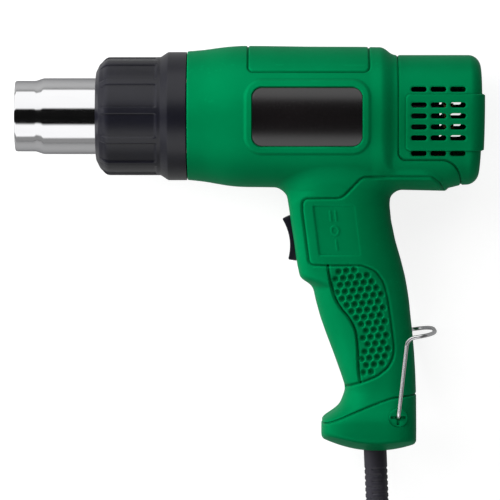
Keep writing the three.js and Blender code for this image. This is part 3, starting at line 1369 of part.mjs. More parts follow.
lead.add(piece('power_lead', leadTube(), rubber));
lead.add(piece('lead_coil', wound(loops, LEAD_RADIUS, LOOP_SIDES), rubber));
lead.add(piece('lead_tail', tail(), rubber));
lead.add(piece('lead_tie', tie(), black));
lead.add(piece('plug_body', plug(), rubber));
lead.add(piece('plug_pin_1', plugPin(-1, 0), brass));
lead.add(piece('plug_pin_2', plugPin(1, 0), brass));

console.log(`least gap between turns: lead coil ${leastGap(loops, LEAD_DIAMETER).toFixed(2)} mm`);
console.log(`least gap between turns: heating coil ${winding.gap.toFixed(2)} mm`);

const part = new THREE.Group();
part.add(tool, lead);

export default part;
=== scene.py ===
import json
import math

import bmesh
import bpy
import numpy as np
from mathutils import Matrix, Vector


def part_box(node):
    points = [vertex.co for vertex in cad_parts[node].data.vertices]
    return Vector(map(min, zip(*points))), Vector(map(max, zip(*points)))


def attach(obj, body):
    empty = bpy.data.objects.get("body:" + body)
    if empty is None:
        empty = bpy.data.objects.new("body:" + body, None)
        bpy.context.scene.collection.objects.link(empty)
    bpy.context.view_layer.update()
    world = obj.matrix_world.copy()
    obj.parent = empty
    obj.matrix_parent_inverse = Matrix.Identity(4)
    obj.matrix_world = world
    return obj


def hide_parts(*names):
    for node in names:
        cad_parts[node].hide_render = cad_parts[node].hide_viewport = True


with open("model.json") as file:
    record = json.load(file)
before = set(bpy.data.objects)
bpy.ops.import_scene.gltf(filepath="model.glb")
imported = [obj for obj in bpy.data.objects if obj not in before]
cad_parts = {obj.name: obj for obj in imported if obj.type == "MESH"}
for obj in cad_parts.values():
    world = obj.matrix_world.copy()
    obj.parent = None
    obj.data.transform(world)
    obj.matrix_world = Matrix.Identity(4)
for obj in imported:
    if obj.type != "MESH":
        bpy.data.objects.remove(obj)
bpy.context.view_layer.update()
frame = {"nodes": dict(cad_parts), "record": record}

# Lengths are in millimetres in the tool's own frame: x runs back along the barrel from the housing's
# front face, y up from the barrel axis and z out of the left side from the mid plane.
TOOL = np.array([-31.05, 66.1, 33.0])
FORM_LOW, FORM_HIGH = (-2, -170, -36), (151, 38, 36)
GRAIN, INNER_GRAIN = 0.4, 1.4
THROUGH = 60.0
BEVEL_ANGLE = math.radians(40)

BODY_LENGTH = 99.5
SHELF_END = 122.0
SHELF_SLOPE = math.radians(43)
SHELF_TOP = 28.0
REAR_END = 146.6
FOOT_BOTTOM = 167.3
WALL = 2.4
GAP = 0.3


def to_row(points):
    return (np.asarray(points, float) + TOOL) / 1000


# Meshes and pieces

def placed(name, data):
    obj = bpy.data.objects.new(name, data)
    bpy.context.scene.collection.objects.link(obj)
    return obj


def mesh_object(name, points, faces, in_row=False):
    points = np.asarray(points, float) if in_row else to_row(points)
    mesh = bpy.data.meshes.new(name)
    mesh.from_pydata(points.tolist(), [], faces)
    mesh.validate()
    return placed(name, mesh)


# Faces from each ring of points to the next: closed by an end face, or the last ring joined to the first
def ring_faces(rings, count, looped=False):
    faces = []
    for i in range(rings if looped else rings - 1):
        j = (i + 1) % rings
        for k in range(count):
            n = (k + 1) % count
            faces.append([i * count + k, i * count + n, j * count + n, j * count + k])
    if not looped:
        faces += [list(range(count)), [(rings - 1) * count + k for k in range(count)]]
    return faces


def outward(obj):
    work = bmesh.new()
    work.from_mesh(obj.data)
    bmesh.ops.remove_doubles(work, verts=work.verts, dist=1e-7)
    bmesh.ops.recalc_face_normals(work, faces=work.faces)
    if work.calc_volume(signed=True) < 0:
        bmesh.ops.reverse_faces(work, faces=work.faces)
    work.to_mesh(obj.data)
    work.free()
    return obj


def applied(obj):
    evaluated = obj.evaluated_get(bpy.context.evaluated_depsgraph_get())
    mesh = bpy.data.meshes.new_from_object(evaluated)
    old = obj.data
    obj.modifiers.clear()
    obj.data = mesh
    if old.users == 0:
        bpy.data.meshes.remove(old)
    return obj


def copied(obj, name):
    return placed(name, obj.data.copy())


def combined(obj, tool, operation):
    change = obj.modifiers.new("combined", "BOOLEAN")
    change.operation = operation
    change.solver = "MANIFOLD"
    change.object = tool
    return applied(obj)


def cut(obj, *tools):
    for tool in tools:
        combined(obj, tool, "DIFFERENCE")
    return obj


def meet(obj, tool):
    return combined(obj, tool, "INTERSECT")


def join(obj, tool):
    return combined(obj, tool, "UNION")


def discard(*objs):
    for obj in objs:
        bpy.data.objects.remove(obj)


def smoothed(obj, degrees):
    obj.data.shade_smooth()
    obj.data.set_sharp_from_angle(angle=math.radians(degrees))
    return obj


def bevelled(obj, width, segments):
    bevel = obj.modifiers.new("edges", "BEVEL")
    bevel.width = width / 1000
    bevel.segments = segments
    bevel.limit_method = "ANGLE"
    bevel.angle_limit = BEVEL_ANGLE
    return applied(obj)


# A piece's material, the body that it rides on, its slot, which is not used, and the nodes that it stands for
def finish_piece(obj, body, material, slot, *nodes):
    obj.data.materials.clear()
    obj.data.materials.append(material)
    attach(obj, body)
    if nodes:
        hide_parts(*nodes)
    return obj


# Outlines

FILLET_SHARE = 0.48


def filleted(points, radii, steps=6, closed=True):
    points = [np.asarray(p, float) for p in points]
    radii = np.broadcast_to(radii, len(points))
    result = []
    for i, corner in enumerate(points):
        if not closed and i in (0, len(points) - 1):
            result.append(corner)
            continue
        before, after = points[i - 1] - corner, points[(i + 1) % len(points)] - corner
        long_before, long_after = np.linalg.norm(before), np.linalg.norm(after)
        before, after = before / long_before, after / long_after
        half = math.acos(float(np.clip(before @ after, -1, 1))) / 2
        reach = radii[i] / max(math.tan(half), 1e-3)
        reach = min(reach, FILLET_SHARE * long_before, FILLET_SHARE * long_after)
        if reach < 1e-3 or half > 1.55:
            result.append(corner)
            continue
        start, end = corner + before * reach, corner + after * reach
        for k in range(steps + 1):
            t = k / steps
            weight = 2 * t * (1 - t) * math.sin(half)
            total = (1 - t) ** 2 + weight + t * t
            result.append(((1 - t) ** 2 * start + weight * corner + t * t * end) / total)
    return result


def rounded(x0, x1, y0, y1, radius, steps=6):
    return filleted([(x0, y0), (x1, y0), (x1, y1), (x0, y1)], radius, steps)


# A bend from one point to another, drawn towards a corner
def bent(start, corner, end, count):
    return [(1 - t) ** 2 * start + 2 * t * (1 - t) * corner + t * t * end for t in np.linspace(0, 1, count)]


def divided(line, step, closed=False):
    result = []
    for a, b in zip(line, line[1:] + line[:1] if closed else line[1:]):
        count = max(1, int(np.linalg.norm(b - a) / step))
        result += [a + (b - a) * k / count for k in range(count)]
    return result


def prism(name, outline, z0, z1):
    points = [(x, y, z) for z in (z0, z1) for x, y in outline]
    return outward(mesh_object(name, points, ring_faces(2, len(outline))))


def box(name, x0, x1, y0, y1, z0, z1):
    return prism(name, rounded(x0, x1, y0, y1, 0), z0, z1)


def cross_rod(name, x, y, z0, z1, radius, sides=48):
    angles = np.arange(sides) * 2 * math.pi / sides
    outline = np.stack([x + radius * np.cos(angles), y + radius * np.sin(angles)], 1)
    return prism(name, outline, z0, z1)


# A closed body turned about the barrel axis from a closed ring of (x, radius) points
def turned(name, profile, sides=128, shape=None):
    angles = np.arange(sides)[:, None] * 2 * math.pi / sides
    x, r = (np.tile(column, (sides, 1)) for column in np.asarray(profile, float).T)
    if shape:
        r = shape(x, r, angles)
    points = np.stack([x, r * np.sin(angles), r * np.cos(angles)], -1).reshape(-1, 3)
    return outward(mesh_object(name, points, ring_faces(sides, len(profile), looped=True)))


# Smooth forms as fields: negative inside, and near the surface about a distance in millimetres

def ease(value, start, end):
    t = np.clip((value - start) / (end - start), 0, 1)
    return t * t * (3 - 2 * t)


def oval_field(a, b, reach_a, reach_b, square):
    p = np.maximum(np.abs(a) / reach_a, 0.02)
    q = np.maximum(np.abs(b) / reach_b, 0.02)
    size = (p ** square + q ** square) ** (1 / square)
    slope = size ** (1 - square) * np.hypot(p ** (square - 1) / reach_a, q ** (square - 1) / reach_b)
    return (size - 1) / slope


def round_join(a, b, r):
    return np.maximum(r, np.minimum(a, b)) - np.hypot(np.maximum(r - a, 0), np.maximum(r - b, 0))


def round_meet(a, b, r):
    return np.minimum(-r, np.maximum(a, b)) + np.hypot(np.maximum(a + r, 0), np.maximum(b + r, 0))


def smooth_table(rows, blur, step=0.25):
    rows = np.asarray(rows, float)
    at = np.arange(rows[0, 0], rows[-1, 0] + step, step)
    reach = int(4 * blur / step)
    kernel = np.exp(-0.5 * (np.arange(-reach, reach + 1) * step / blur) ** 2)
    kernel /= kernel.sum()
    columns = []
    for k in range(1, rows.shape[1]):
        values = np.pad(np.interp(at, rows[:, 0], rows[:, k]), reach, mode="edge")
        columns.append(np.convolve(values, kernel, mode="valid"))
    return at, columns


# Barrel: place along x, height above the axis, depth below it, half width, squareness
BARREL = smooth_table([
    (-12, 32.3, 31.8, 32.0, 2.0),
    (0, 32.3, 31.8, 32.0, 2.0),
    (9, 33.1, 32.8, 32.3, 2.0),
    (15, 34.0, 33.9, 32.6, 2.05),
    (21, 34.7, 34.9, 32.9, 2.1),
    (27, 35.1, 35.4, 33.0, 2.1),
    (39, 35.0, 35.5, 33.0, 2.1),
    (60, 34.7, 35.8, 33.0, 2.1),
    (87, 34.6, 36.3, 33.0, 2.1),
    (100, 34.3, 36.6, 33.0, 2.1),
    (150, 34.0, 37.8, 33.0, 2.1),
], 2.0)

# Handle and foot: depth below the axis, front edge, rear edge, half width, squareness
HANDLE = smooth_table([
    (0, 46.0, 104.0, 20.0, 2.6),
    (34.5, 47.6, 103.0, 20.6, 2.6),
    (40, 49.6, 101.2, 20.0, 2.6),
    (44, 50.3, 100.8, 19.5, 2.6),
    (52, 51.4, 101.6, 19.2, 2.6),
    (62, 53.0, 103.7, 19.0, 2.6),
    (72, 54.3, 106.6, 18.6, 2.6),
    (80, 56.0, 108.6, 18.2, 2.6),
    (81.6, 57.6, 108.9, 18.1, 2.6),
    (83.8, 61.2, 109.3, 18.0, 2.7),
    (86, 62.7, 109.7, 17.8, 2.7),
    (92, 64.0, 110.6, 17.5, 2.8),
    (100, 66.2, 111.4, 17.2, 2.8),
    (108, 69.0, 112.3, 17.1, 2.8),
    (118, 72.8, 113.2, 17.2, 2.8),
    (128, 76.4, 113.8, 17.7, 2.9),
    (134, 78.4, 114.0, 18.0, 3.0),
    (137, 78.6, 114.1, 18.4, 3.0),
    (140, 77.6, 114.2, 19.0, 3.2),
    (144, 76.0, 114.2, 20.2, 3.4),
    (146, 74.0, 114.2, 20.9, 3.6),
    (148, 71.4, 114.2, 21.7, 3.8),
    (150, 68.2, 114.2, 22.3, 4.0),
    (151.6, 66.9, 114.2, 22.7, 4.2),
    (156, 66.8, 114.2, 23.0, 4.4),
    (180, 67.0, 114.0, 23.0, 4.4),
], 0.9)
FOOT_MIDDLE = 94.0
FOOT_DOME = (0.0088, 0.0105)
REAR_RISE, REAR_DROP, REAR_STEP_DROP = 30.5, 34.2, 1.6
REAR_HALF_WIDTH, REAR_SQUARE, REAR_ROUND = 29.5, 2.5, 6
REAR_DOME, REAR_DOME_Y, REAR_SET_IN = 0.0006, 12, 0.6
SHELF_ROUND, STEP_ROUND, FOOT_ROUND, HANDLE_ROUND, FRONT_ROUND = 4, 6, 1.6, 5, 0.5
GRIP_FRONT_SQUARE = 2.4


def barrel_field(x, y, z):
    rise, drop, half, square = (np.interp(x, BARREL[0], column) for column in BARREL[1])
    return oval_field(y, z, np.where(y > 0, rise, drop), half, square)


def shell_field(x, y, z):
    slope = (x - SHELF_END) * math.cos(SHELF_SLOPE) + (y + SHELF_TOP) * math.sin(SHELF_SLOPE)
    shelf = round_meet(slope, y + SHELF_TOP, SHELF_ROUND)
    upper = ease(y, -27, -14)
    step = round_join(x - BODY_LENGTH, shelf, STEP_ROUND)
    body = round_meet(barrel_field(x, y, z), step, 2.2 + 1.8 * upper)
    drop = REAR_DROP + REAR_STEP_DROP * ease(-x, -138, -129)
    rear = oval_field(y, z, np.where(y > 0, REAR_RISE, drop), REAR_HALF_WIDTH, REAR_SQUARE)
    end = x - REAR_END + REAR_SET_IN + REAR_DOME * (y - REAR_DOME_Y) ** 2
    rear = round_meet(rear, np.maximum(end, BODY_LENGTH - 9 - x), REAR_ROUND)
    front, back, half, square = (np.interp(-y, HANDLE[0], column) for column in HANDLE[1])
    inward = x - (front + back) / 2
    beside_switch = GRIP_FRONT_SQUARE * ease(-y, 36, 45) * ease(y, -85, -78)
    square = square + np.where(inward < 0, beside_switch, 0)
    handle = oval_field(inward, z, (back - front) / 2, half, square)
    across = x - FOOT_MIDDLE
    under = -FOOT_BOTTOM + FOOT_DOME[0] * across ** 2 + FOOT_DOME[1] * z ** 2 - y
    under = under / np.sqrt(1 + (2 * FOOT_DOME[0] * across) ** 2 + (2 * FOOT_DOME[1] * z) ** 2)
    handle = round_meet(round_meet(handle, under, FOOT_ROUND), y + 12, 2)
    barrel = round_join(body, rear, 2.6 + 1.9 * upper - 1.3 * ease(-y, 31, 34))
    return round_meet(round_join(barrel, handle, HANDLE_ROUND), -x, FRONT_ROUND)


def gradient(field, p, reach=0.04):
    columns = []
    for axis in range(3):
        step = np.zeros(3)
        step[axis] = reach
        columns.append((field(*(p + step).T) - field(*(p - step).T)) / (2 * reach))
    return np.stack(columns, 1)


# The skin of a field as quads: one point in each small cell that the skin crosses
def skin(field, low, high, grain, block=8):
    low = np.asarray(low, float)
    blocks = np.ceil((np.asarray(high, float) - low) / (grain * block)).astype(int)
    middles = [low[a] + grain * (block * np.arange(blocks[a]) + (block - 1) / 2) for a in range(3)]
    coarse = field(*(m.ravel() for m in np.meshgrid(*middles, indexing="ij"))).reshape(blocks)
    values = np.where(coarse < 0, -9.0, 9.0).astype(np.float32)
    values = values.repeat(block, 0).repeat(block, 1).repeat(block, 2)
    cells = values.reshape(blocks[0], block, blocks[1], block, blocks[2], block)
    near = np.argwhere(np.abs(coarse) < 1.6 * grain * block)
    inside = np.arange(block)
    for part in np.array_split(near, max(1, len(near) // 1500)):
        x = (low[0] + grain * (block * part[:, 0, None] + inside))[:, :, None, None]
        y = (low[1] + grain * (block * part[:, 1, None] + inside))[:, None, :, None]
        z = (low[2] + grain * (block * part[:, 2, None] + inside))[:, None, None, :]
        x, y, z = np.broadcast_arrays(x, y, z)
        found = field(x.ravel(), y.ravel(), z.ravel()).reshape(x.shape)
        cells[part[:, 0], :, part[:, 1], :, part[:, 2], :] = found
    shape = values.shape
    negative = values < 0
    keys, places, quads = [], [], []
    around = {0: ((0, -1, -1), (0, 0, -1), (0, 0, 0), (0, -1, 0)),
              1: ((-1, 0, -1), (-1, 0, 0), (0, 0, 0), (0, 0, -1)),
              2: ((-1, -1, 0), (0, -1, 0), (0, 0, 0), (-1, 0, 0))}
    for axis in range(3):
        first = tuple(slice(0, -1) if a == axis else slice(None) for a in range(3))
        second = tuple(slice(1, None) if a == axis else slice(None) for a in range(3))
        at = np.argwhere(negative[first] != negative[second])
        after = at.copy()
        after[:, axis] += 1
        a, b = values[tuple(at.T)], values[tuple(after.T)]
        place = at.astype(float)
        place[:, axis] += a / (a - b)
        key = np.stack([np.ravel_multi_index(tuple((at + np.array(o)).T), shape) for o in around[axis]], 1)
        flip = ~negative[tuple(at.T)]
        key[flip] = key[flip][:, ::-1]
        quads.append(key)
        keys.append(key.ravel())
        places.append(np.repeat(place, 4, 0))
    keys, places, quads = np.concatenate(keys), np.concatenate(places), np.concatenate(quads)
    found, index = np.unique(keys, return_inverse=True)
    total = np.bincount(index, minlength=len(found))
    points = np.stack([np.bincount(index, places[:, a], len(found)) / total for a in range(3)], 1)
    points = low + grain * points
    faces = np.searchsorted(found, quads)
    edges = np.concatenate([faces[:, [0, 1]], faces[:, [1, 2]], faces[:, [2, 3]], faces[:, [3, 0]]])
    for _ in range(2):
        degree = np.bincount(edges[:, 0], minlength=len(points))
        mean = [np.bincount(edges[:, 0], points[edges[:, 1], a], len(points)) / degree for a in range(3)]
        points = 0.4 * points + 0.6 * np.stack(mean, 1)
        slope = gradient(field, points)
        points = points - slope * (field(*points.T) / (slope ** 2).sum(1))[:, None]
    slope = gradient(field, points)
    return points, faces.tolist(), slope / np.linalg.norm(slope, axis=1)[:, None]


# Lines and marks on the housing, as heights above its smooth form

def rounded_box(x, y, x0, x1, y0, y1, r):
    p = np.abs(x - (x0 + x1) / 2) - (x1 - x0) / 2 + r
    q = np.abs(y - (y0 + y1) / 2) - (y1 - y0) / 2 + r
    return np.minimum(np.maximum(p, q), 0) + np.hypot(np.maximum(p, 0), np.maximum(q, 0)) - r


def path_distance(x, y, path, reach=3.0):
    path = np.asarray(path, float)
    result = np.full(len(x), 99.0)
    low, high = path.min(0) - reach, path.max(0) + reach
    near = np.flatnonzero((x > low[0]) & (x < high[0]) & (y > low[1]) & (y < high[1]))
    px, py, best = x[near], y[near], result[near]
    for (ax, ay), (bx, by) in zip(path[:-1], path[1:]):
        dx, dy = bx - ax, by - ay
        t = np.clip(((px - ax) * dx + (py - ay) * dy) / (dx * dx + dy * dy), 0, 1)
        best = np.minimum(best, np.hypot(px - ax - t * dx, py - ay - t * dy))
    result[near] = best
    return result


def groove(distance, half_width, depth):
    return -depth * 0.5 * (1 + np.cos(math.pi * np.clip(distance / half_width, 0, 1)))


def within(x, y, path):
    path = np.asarray(path, float)
    odd = np.zeros(len(x), bool)
    for (ax, ay), (bx, by) in zip(path, np.roll(path, -1, 0)):
        crosses = (ay > y) != (by > y)
        slope = (bx - ax) / (by - ay if by != ay else 1e-9)
        odd ^= crosses & (x < ax + (y - ay) * slope)
    return odd


def curve_through(points, steps=6):
    points = np.asarray(points, float)
    padded = np.concatenate([2 * points[:1] - points[1:2], points, 2 * points[-1:] - points[-2:-1]])
    result = []
    for a, b, c, d in zip(padded, padded[1:], padded[2:], padded[3:]):
        for k in range(steps):
            t = k / steps
            result.append(0.5 * (2 * b + (c - a) * t + (2 * a - 5 * b + 4 * c - d) * t ** 2
                                 + (3 * b - a - 3 * c + d) * t ** 3))
    result.append(points[-1])
    return np.array(result)


COVER_START = 104.6
COVER_SEAM = -21.5
COVER_SEAM_CORNER = 4.0


def cover_outline(shift):
    start, seam, corner = COVER_START + shift, COVER_SEAM + shift, COVER_SEAM_CORNER
    line = [(start, 90), (start, seam + corner)]
    for k in range(1, 9):
        angle = math.pi + k * math.pi / 16
        line.append((start + corner + corner * math.cos(angle), seam + corner + corner * math.sin(angle)))
    line += bent(*(np.array(p) + shift for p in ((126, COVER_SEAM), (134.2, COVER_SEAM), (136.2, -33.2))), 13)
    line.append((137.2 + shift, -90))
    return line


FOOT_LINE = curve_through([
    (55, -153.2), (67, -152.6), (74, -150.6), (83, -146.9), (92.5, -143.1), (99, -140.7), (104, -139.5),
    (114.2, -138.5), (125, -138.2),
])

# The line round the grip's side panel, and the wavy line between its smooth and its dimpled half
PANEL_CORNERS = [
    (127.4, -36.4), (125.6, -33.5), (121.6, -30.1), (86.9, -30.1), (76.6, -40.5), (57.0, -40.5),
    (57.2, -47.4), (60.6, -73.6), (69.9, -73.9), (87.0, -73.9), (93.6, -76.6), (97.7, -82.1), (99.7, -89.8),
    (101.2, -99.5), (103.0, -113.6), (102.6, -119.4), (99.7, -124.7), (94.2, -128.9), (87.3, -131.7),
    (78.0, -134.6),
]
PANEL_ROUNDS = [3, 4, 4, 6, 6, 3, 6, 3, 6, 8, 8, 12, 20, 40, 14, 10, 10, 12, 20, 3]
PANEL = filleted(PANEL_CORNERS, PANEL_ROUNDS, steps=5, closed=False)
WAVE = curve_through([
    (69.9, -73.9), (70.6, -79.0), (73.1, -89.0), (76.3, -95.0), (80.1, -99.6), (83.2, -105.2),
    (84.5, -112.0), (85.2, -125.9), (85.9, -131.9),
])
DIMPLED = np.concatenate([WAVE, PANEL_CORNERS[17:8:-1]])
SMOOTH_HALF = np.concatenate([WAVE, [(40, -131.9), (40, -73.9)]])

VENT_X, VENT_Y, VENT_PITCH, VENT_HALF = 114.5, -2.2, 9.65, (3.9, 1.3)
VENTS = [(VENT_X + VENT_PITCH * column, VENT_Y + row) for column in range(3)
         for row in (-15.8, -8.1, -2.7, 2.7, 8.1, 15.8)]
DIMPLE_RADIUS, DIMPLE_DEPTH, DIMPLE_CLEAR = 1.78, 1.7, 1.75
DIMPLE_X, DIMPLE_Y, DIMPLE_PITCH, DIMPLE_LEAN = 77.7, -80.1, 3.95, math.radians(7.2)
LABEL_X = 59.5
LABEL_FRAME, LABEL_FRAME_CORNER = (27.5, 14.9), 5.3
LABEL_HALF, LABEL_CORNER = (27.2, 14.6), 5.0
RIM_HEIGHT, RIM_MIDDLE, RECESS = 0.75, 1.3, 1.2
LEGEND_LEAN, LEGEND_X, LEGEND_Y, LEGEND_STROKE = 0.12, 73.3, -56.5, 0.42
LEGEND_BARS = ((72.0, -51.6, -47.0), (74.6, -51.6, -47.0), (73.3, -66.0, -61.4))

# Grooves as half width and depth, and rounded boxes as low x, high x, low y, high y and corner radius
SADDLE_GROOVE, SEAM_GROOVE, SPLIT_GROOVE = (0.85, 0.75), (0.9, 0.7), (0.6, 0.3)
PANEL_GROOVE, WAVE_GROOVE, WAVE_SWELL = (1.15, 0.95), (1.1, 0.95), 9.0
SADDLE, BAND, BAND_HEIGHT = (30.2, 90.3, 22.3, 90, 2.6), (108.2, 400, -16.6, 11.1, 2.2), 1.4
LEGEND_PLATE = (62.2, 83.0, -69.0, -43.9, 1.0)

BAIL_PIVOT = (104.7, -149.1)
BUSH_RADIUS, BUSH_HOLE, BUSH_BORE, BUSH_LENGTH = 4.68, 4.8, 1.35, 9
CROSS_REACH, CROSS_HALF, CROSS_DEPTH = 3.7, 0.7, 0.7


# The switch places: two bars, a ring and one bar, as a distance
def legend(x, y):
    u = x + (y - LEGEND_Y) * LEGEND_LEAN
    marks = np.abs(np.hypot((u - LEGEND_X) / 0.82, y - LEGEND_Y) - 2.2) - 0.45
    for bar, low, high in LEGEND_BARS:
        marks = np.minimum(marks, path_distance(u, y, [(bar, low), (bar, high)]) - LEGEND_STROKE)
    return marks


# Bowls on a leaning hexagonal grid, where they stand clear of the panel's edge
def dimples(x, y):
    ax, ay = DIMPLE_PITCH * math.cos(DIMPLE_LEAN), DIMPLE_PITCH * math.sin(DIMPLE_LEAN)
    turned_lean = DIMPLE_LEAN - math.pi / 3
    bx, by = DIMPLE_PITCH * math.cos(turned_lean), DIMPLE_PITCH * math.sin(turned_lean)
    dx, dy = x - DIMPLE_X, y - DIMPLE_Y
    det = ax * by - ay * bx
    u, v = (dx * by - dy * bx) / det, (ax * dy - ay * dx) / det
    nearest, mx, my = np.full(len(x), 99.0), np.zeros(len(x)), np.zeros(len(x))
    for du in (0, 1):
        for dv in (0, 1):
            iu, iv = np.floor(u) + du, np.floor(v) + dv
            cx, cy = DIMPLE_X + iu * ax + iv * bx, DIMPLE_Y + iu * ay + iv * by
            d = np.hypot(x - cx, y - cy)
            closer = d < nearest
            nearest = np.where(closer, d, nearest)
            mx, my = np.where(closer, cx, mx), np.where(closer, cy, my)
    edge = np.concatenate([DIMPLED, DIMPLED[:1]])
    clear = within(mx, my, DIMPLED) & (path_distance(mx, my, edge) > DIMPLE_CLEAR)
    return np.where(clear, DIMPLE_DEPTH * np.clip(1 - (nearest / DIMPLE_RADIUS) ** 2, 0, 1), 0)


def detail(x, y, z):
    height = np.zeros(len(x))
    left = z > 0
    # label frame, on the left side only
    wide, high = LABEL_FRAME
    frame_edge = rounded_box(x, y, LABEL_X - wide, LABEL_X + wide, -high, high, LABEL_FRAME_CORNER)
    rim = RIM_HEIGHT * ease(-np.abs(frame_edge - RIM_MIDDLE), -2.9, -1.0)
    recess = -RECESS * ease(-frame_edge, -0.05, 0.35)
    on_label = left & (frame_edge < 6)
    inner_rim = rim * ease(frame_edge, -0.4, 0) + recess
    height += np.where(on_label, np.where(frame_edge > 0, rim, inner_rim), 0)
    # saddle line over the top
    height += groove(np.abs(rounded_box(x, y, *SADDLE)), *SADDLE_GROOVE)
    # seams
    for seam in (cover_outline(0), FOOT_LINE):
        height += groove(path_distance(x, y, seam), *SEAM_GROOVE)
    housing = (x < COVER_START) | (y < -24)
    height += np.where(housing & (y > -138) & (x > 1), groove(np.abs(z), *SPLIT_GROOVE), 0)
    # raised band round the rear cover
    height += BAND_HEIGHT * ease(-rounded_box(x, y, *BAND), -0.45, 0.45)
    # softened vent edges
    a, b = VENT_HALF
    for vx, vy in VENTS:
        edge = rounded_box(x, y, vx - a, vx + a, vy - b, vy + b, b - 0.01)
        height -= np.where(z > 4, 0.3 * ease(-edge, -0.55, 0.1), 0)
    # grip panel
    panel = np.abs(z) > 3
    height += np.where(panel, groove(path_distance(x, y, PANEL), *PANEL_GROOVE), 0)
    wave = path_distance(x, y, WAVE, WAVE_SWELL)
    smooth_half = within(x, y, SMOOTH_HALF)
    swell = 0.9 * np.clip(1 - wave / WAVE_SWELL, 0, 1) * ease(wave, 0, 0.8) * ease(np.abs(z), 3, 9)
    height += np.where(smooth_half, swell * ease(-y, 74.3, 80) * ease(y, -132.5, -124), 0)
    height += np.where(panel, groove(wave, *WAVE_GROOVE), 0)
    field = np.flatnonzero(within(x, y, DIMPLED) & (np.abs(z) > 5))
    height[field] -= dimples(x[field], y[field])
    # switch legend
    slant = (y + 43.8) * -0.125
    plate = rounded_box(x - slant, y, *LEGEND_PLATE)
    depth = 0.55 - 0.4 * np.clip((x - slant - LEGEND_PLATE[0]) / 21, 0, 1)
    legend_zone = (np.abs(z) > 8) & (plate < 1.5)
    height += np.where(legend_zone, -depth * ease(-plate, -0.2, 0.5), 0)
    height += np.where(legend_zone & left, 0.26 * ease(-legend(x, y), -0.2, 0.2), 0)
    return height


# Materials

MIX_FACTOR, MIX_A, MIX_B, MIX_COLOR = 0, 6, 7, 2
FINISHES = {}


def new_material(name):
    material = bpy.data.materials.new(name)
    material.use_nodes = True
    tree = material.node_tree
    return material, tree, tree.nodes["Principled BSDF"]


def node(tree, kind, **settings):
    made = tree.nodes.new(kind)
    for key, value in settings.items():
        if key in made.inputs:
            made.inputs[key].default_value = value
        else:
            setattr(made, key, value)
    return made


# A math node on values or on other nodes' outputs
def worked(tree, operation, *values):
    made = node(tree, "ShaderNodeMath", operation=operation)
    for socket, value in zip(made.inputs, values):
        if isinstance(value, bpy.types.NodeSocket):
            tree.links.new(value, socket)
        else:
            socket.default_value = value
    return made.outputs[0]


# Colours by the share at which each stands
def ramped(tree, share, stops):
    ramp = node(tree, "ShaderNodeValToRGB")
    elements = ramp.color_ramp.elements
    while len(elements) < len(stops):
        elements.new(0.5)
    for element, (position, colour) in zip(elements, stops):
        element.position = position
        element.color = colour
    tree.links.new(share, ramp.inputs["Fac"])
    return ramp.outputs["Color"]


def grey(level):
    return (level, level, level, 1)


def srgb(channels):
    linear = [c / 255 / 12.92 if c <= 10 else ((c / 255 + 0.055) / 1.055) ** 2.4 for c in channels]
    return (*linear, 1.0)


# Painted shade and highlight: darker in hollows, and lighter on sharp edges
def painted_shade_and_highlight(tree, tone, hollow, edge):
    pointed = node(tree, "ShaderNodeNewGeometry").outputs["Pointiness"]
    stops = ((0.42, grey(hollow)), (0.495, grey(edge)), (0.56, grey(1.0)))
    product = node(tree, "ShaderNodeMix", data_type="RGBA", blend_type="MULTIPLY")
    product.inputs[MIX_FACTOR].default_value = 1.0
    tree.links.new(tone, product.inputs[MIX_A])
    tree.links.new(ramped(tree, pointed, stops), product.inputs[MIX_B])
    return product.outputs[MIX_COLOR]


# A finish that varies over the surface: two near colours, two roughnesses and a fine raised grain
def surface(name, dark, light, rough, scale=60.0, grain=900.0, bump=0.06, metallic=0.0, gloss=0.5, tint=None,
            stretch=None, painted_cavity_shade=None):
    material, tree, shader = new_material(name)
    link = tree.links.new
    source = node(tree, "ShaderNodeTexCoord").outputs["Object"]
    if stretch:
        mapping = node(tree, "ShaderNodeMapping", Scale=stretch)
        link(source, mapping.inputs["Vector"])
        source = mapping.outputs["Vector"]
    broad = node(tree, "ShaderNodeTexNoise", Scale=scale, Detail=4.0, Roughness=0.6)
    fine = node(tree, "ShaderNodeTexNoise", Scale=grain, Detail=3.0, Roughness=0.6)
    link(source, broad.inputs["Vector"])
    link(source, fine.inputs["Vector"])
    tone = ramped(tree, broad.outputs["Fac"], ((0.32, srgb(dark)), (0.68, srgb(light))))
    # Painted shade in hollows and a painted highlight on sharp edges, multiplied into the colour
    if painted_cavity_shade:
        tone = painted_shade_and_highlight(tree, tone, *painted_cavity_shade)
    link(tone, shader.inputs["Base Color"])
    spread = node(tree, "ShaderNodeMapRange",
                  **{"From Min": 0.3, "From Max": 0.7, "To Min": rough[0], "To Max": rough[1]})
    link(fine.outputs["Fac"], spread.inputs["Value"])
    link(spread.outputs["Result"], shader.inputs["Roughness"])
    relief = node(tree, "ShaderNodeBump", Strength=bump, Distance=0.0002)
    link(fine.outputs["Fac"], relief.inputs["Height"])
    link(relief.outputs["Normal"], shader.inputs["Normal"])
    shader.inputs["Metallic"].default_value = metallic
    shader.inputs["Specular IOR Level"].default_value = gloss
    if tint:
        shader.inputs["Specular Tint"].default_value = tint
    FINISHES[name] = material
    return material


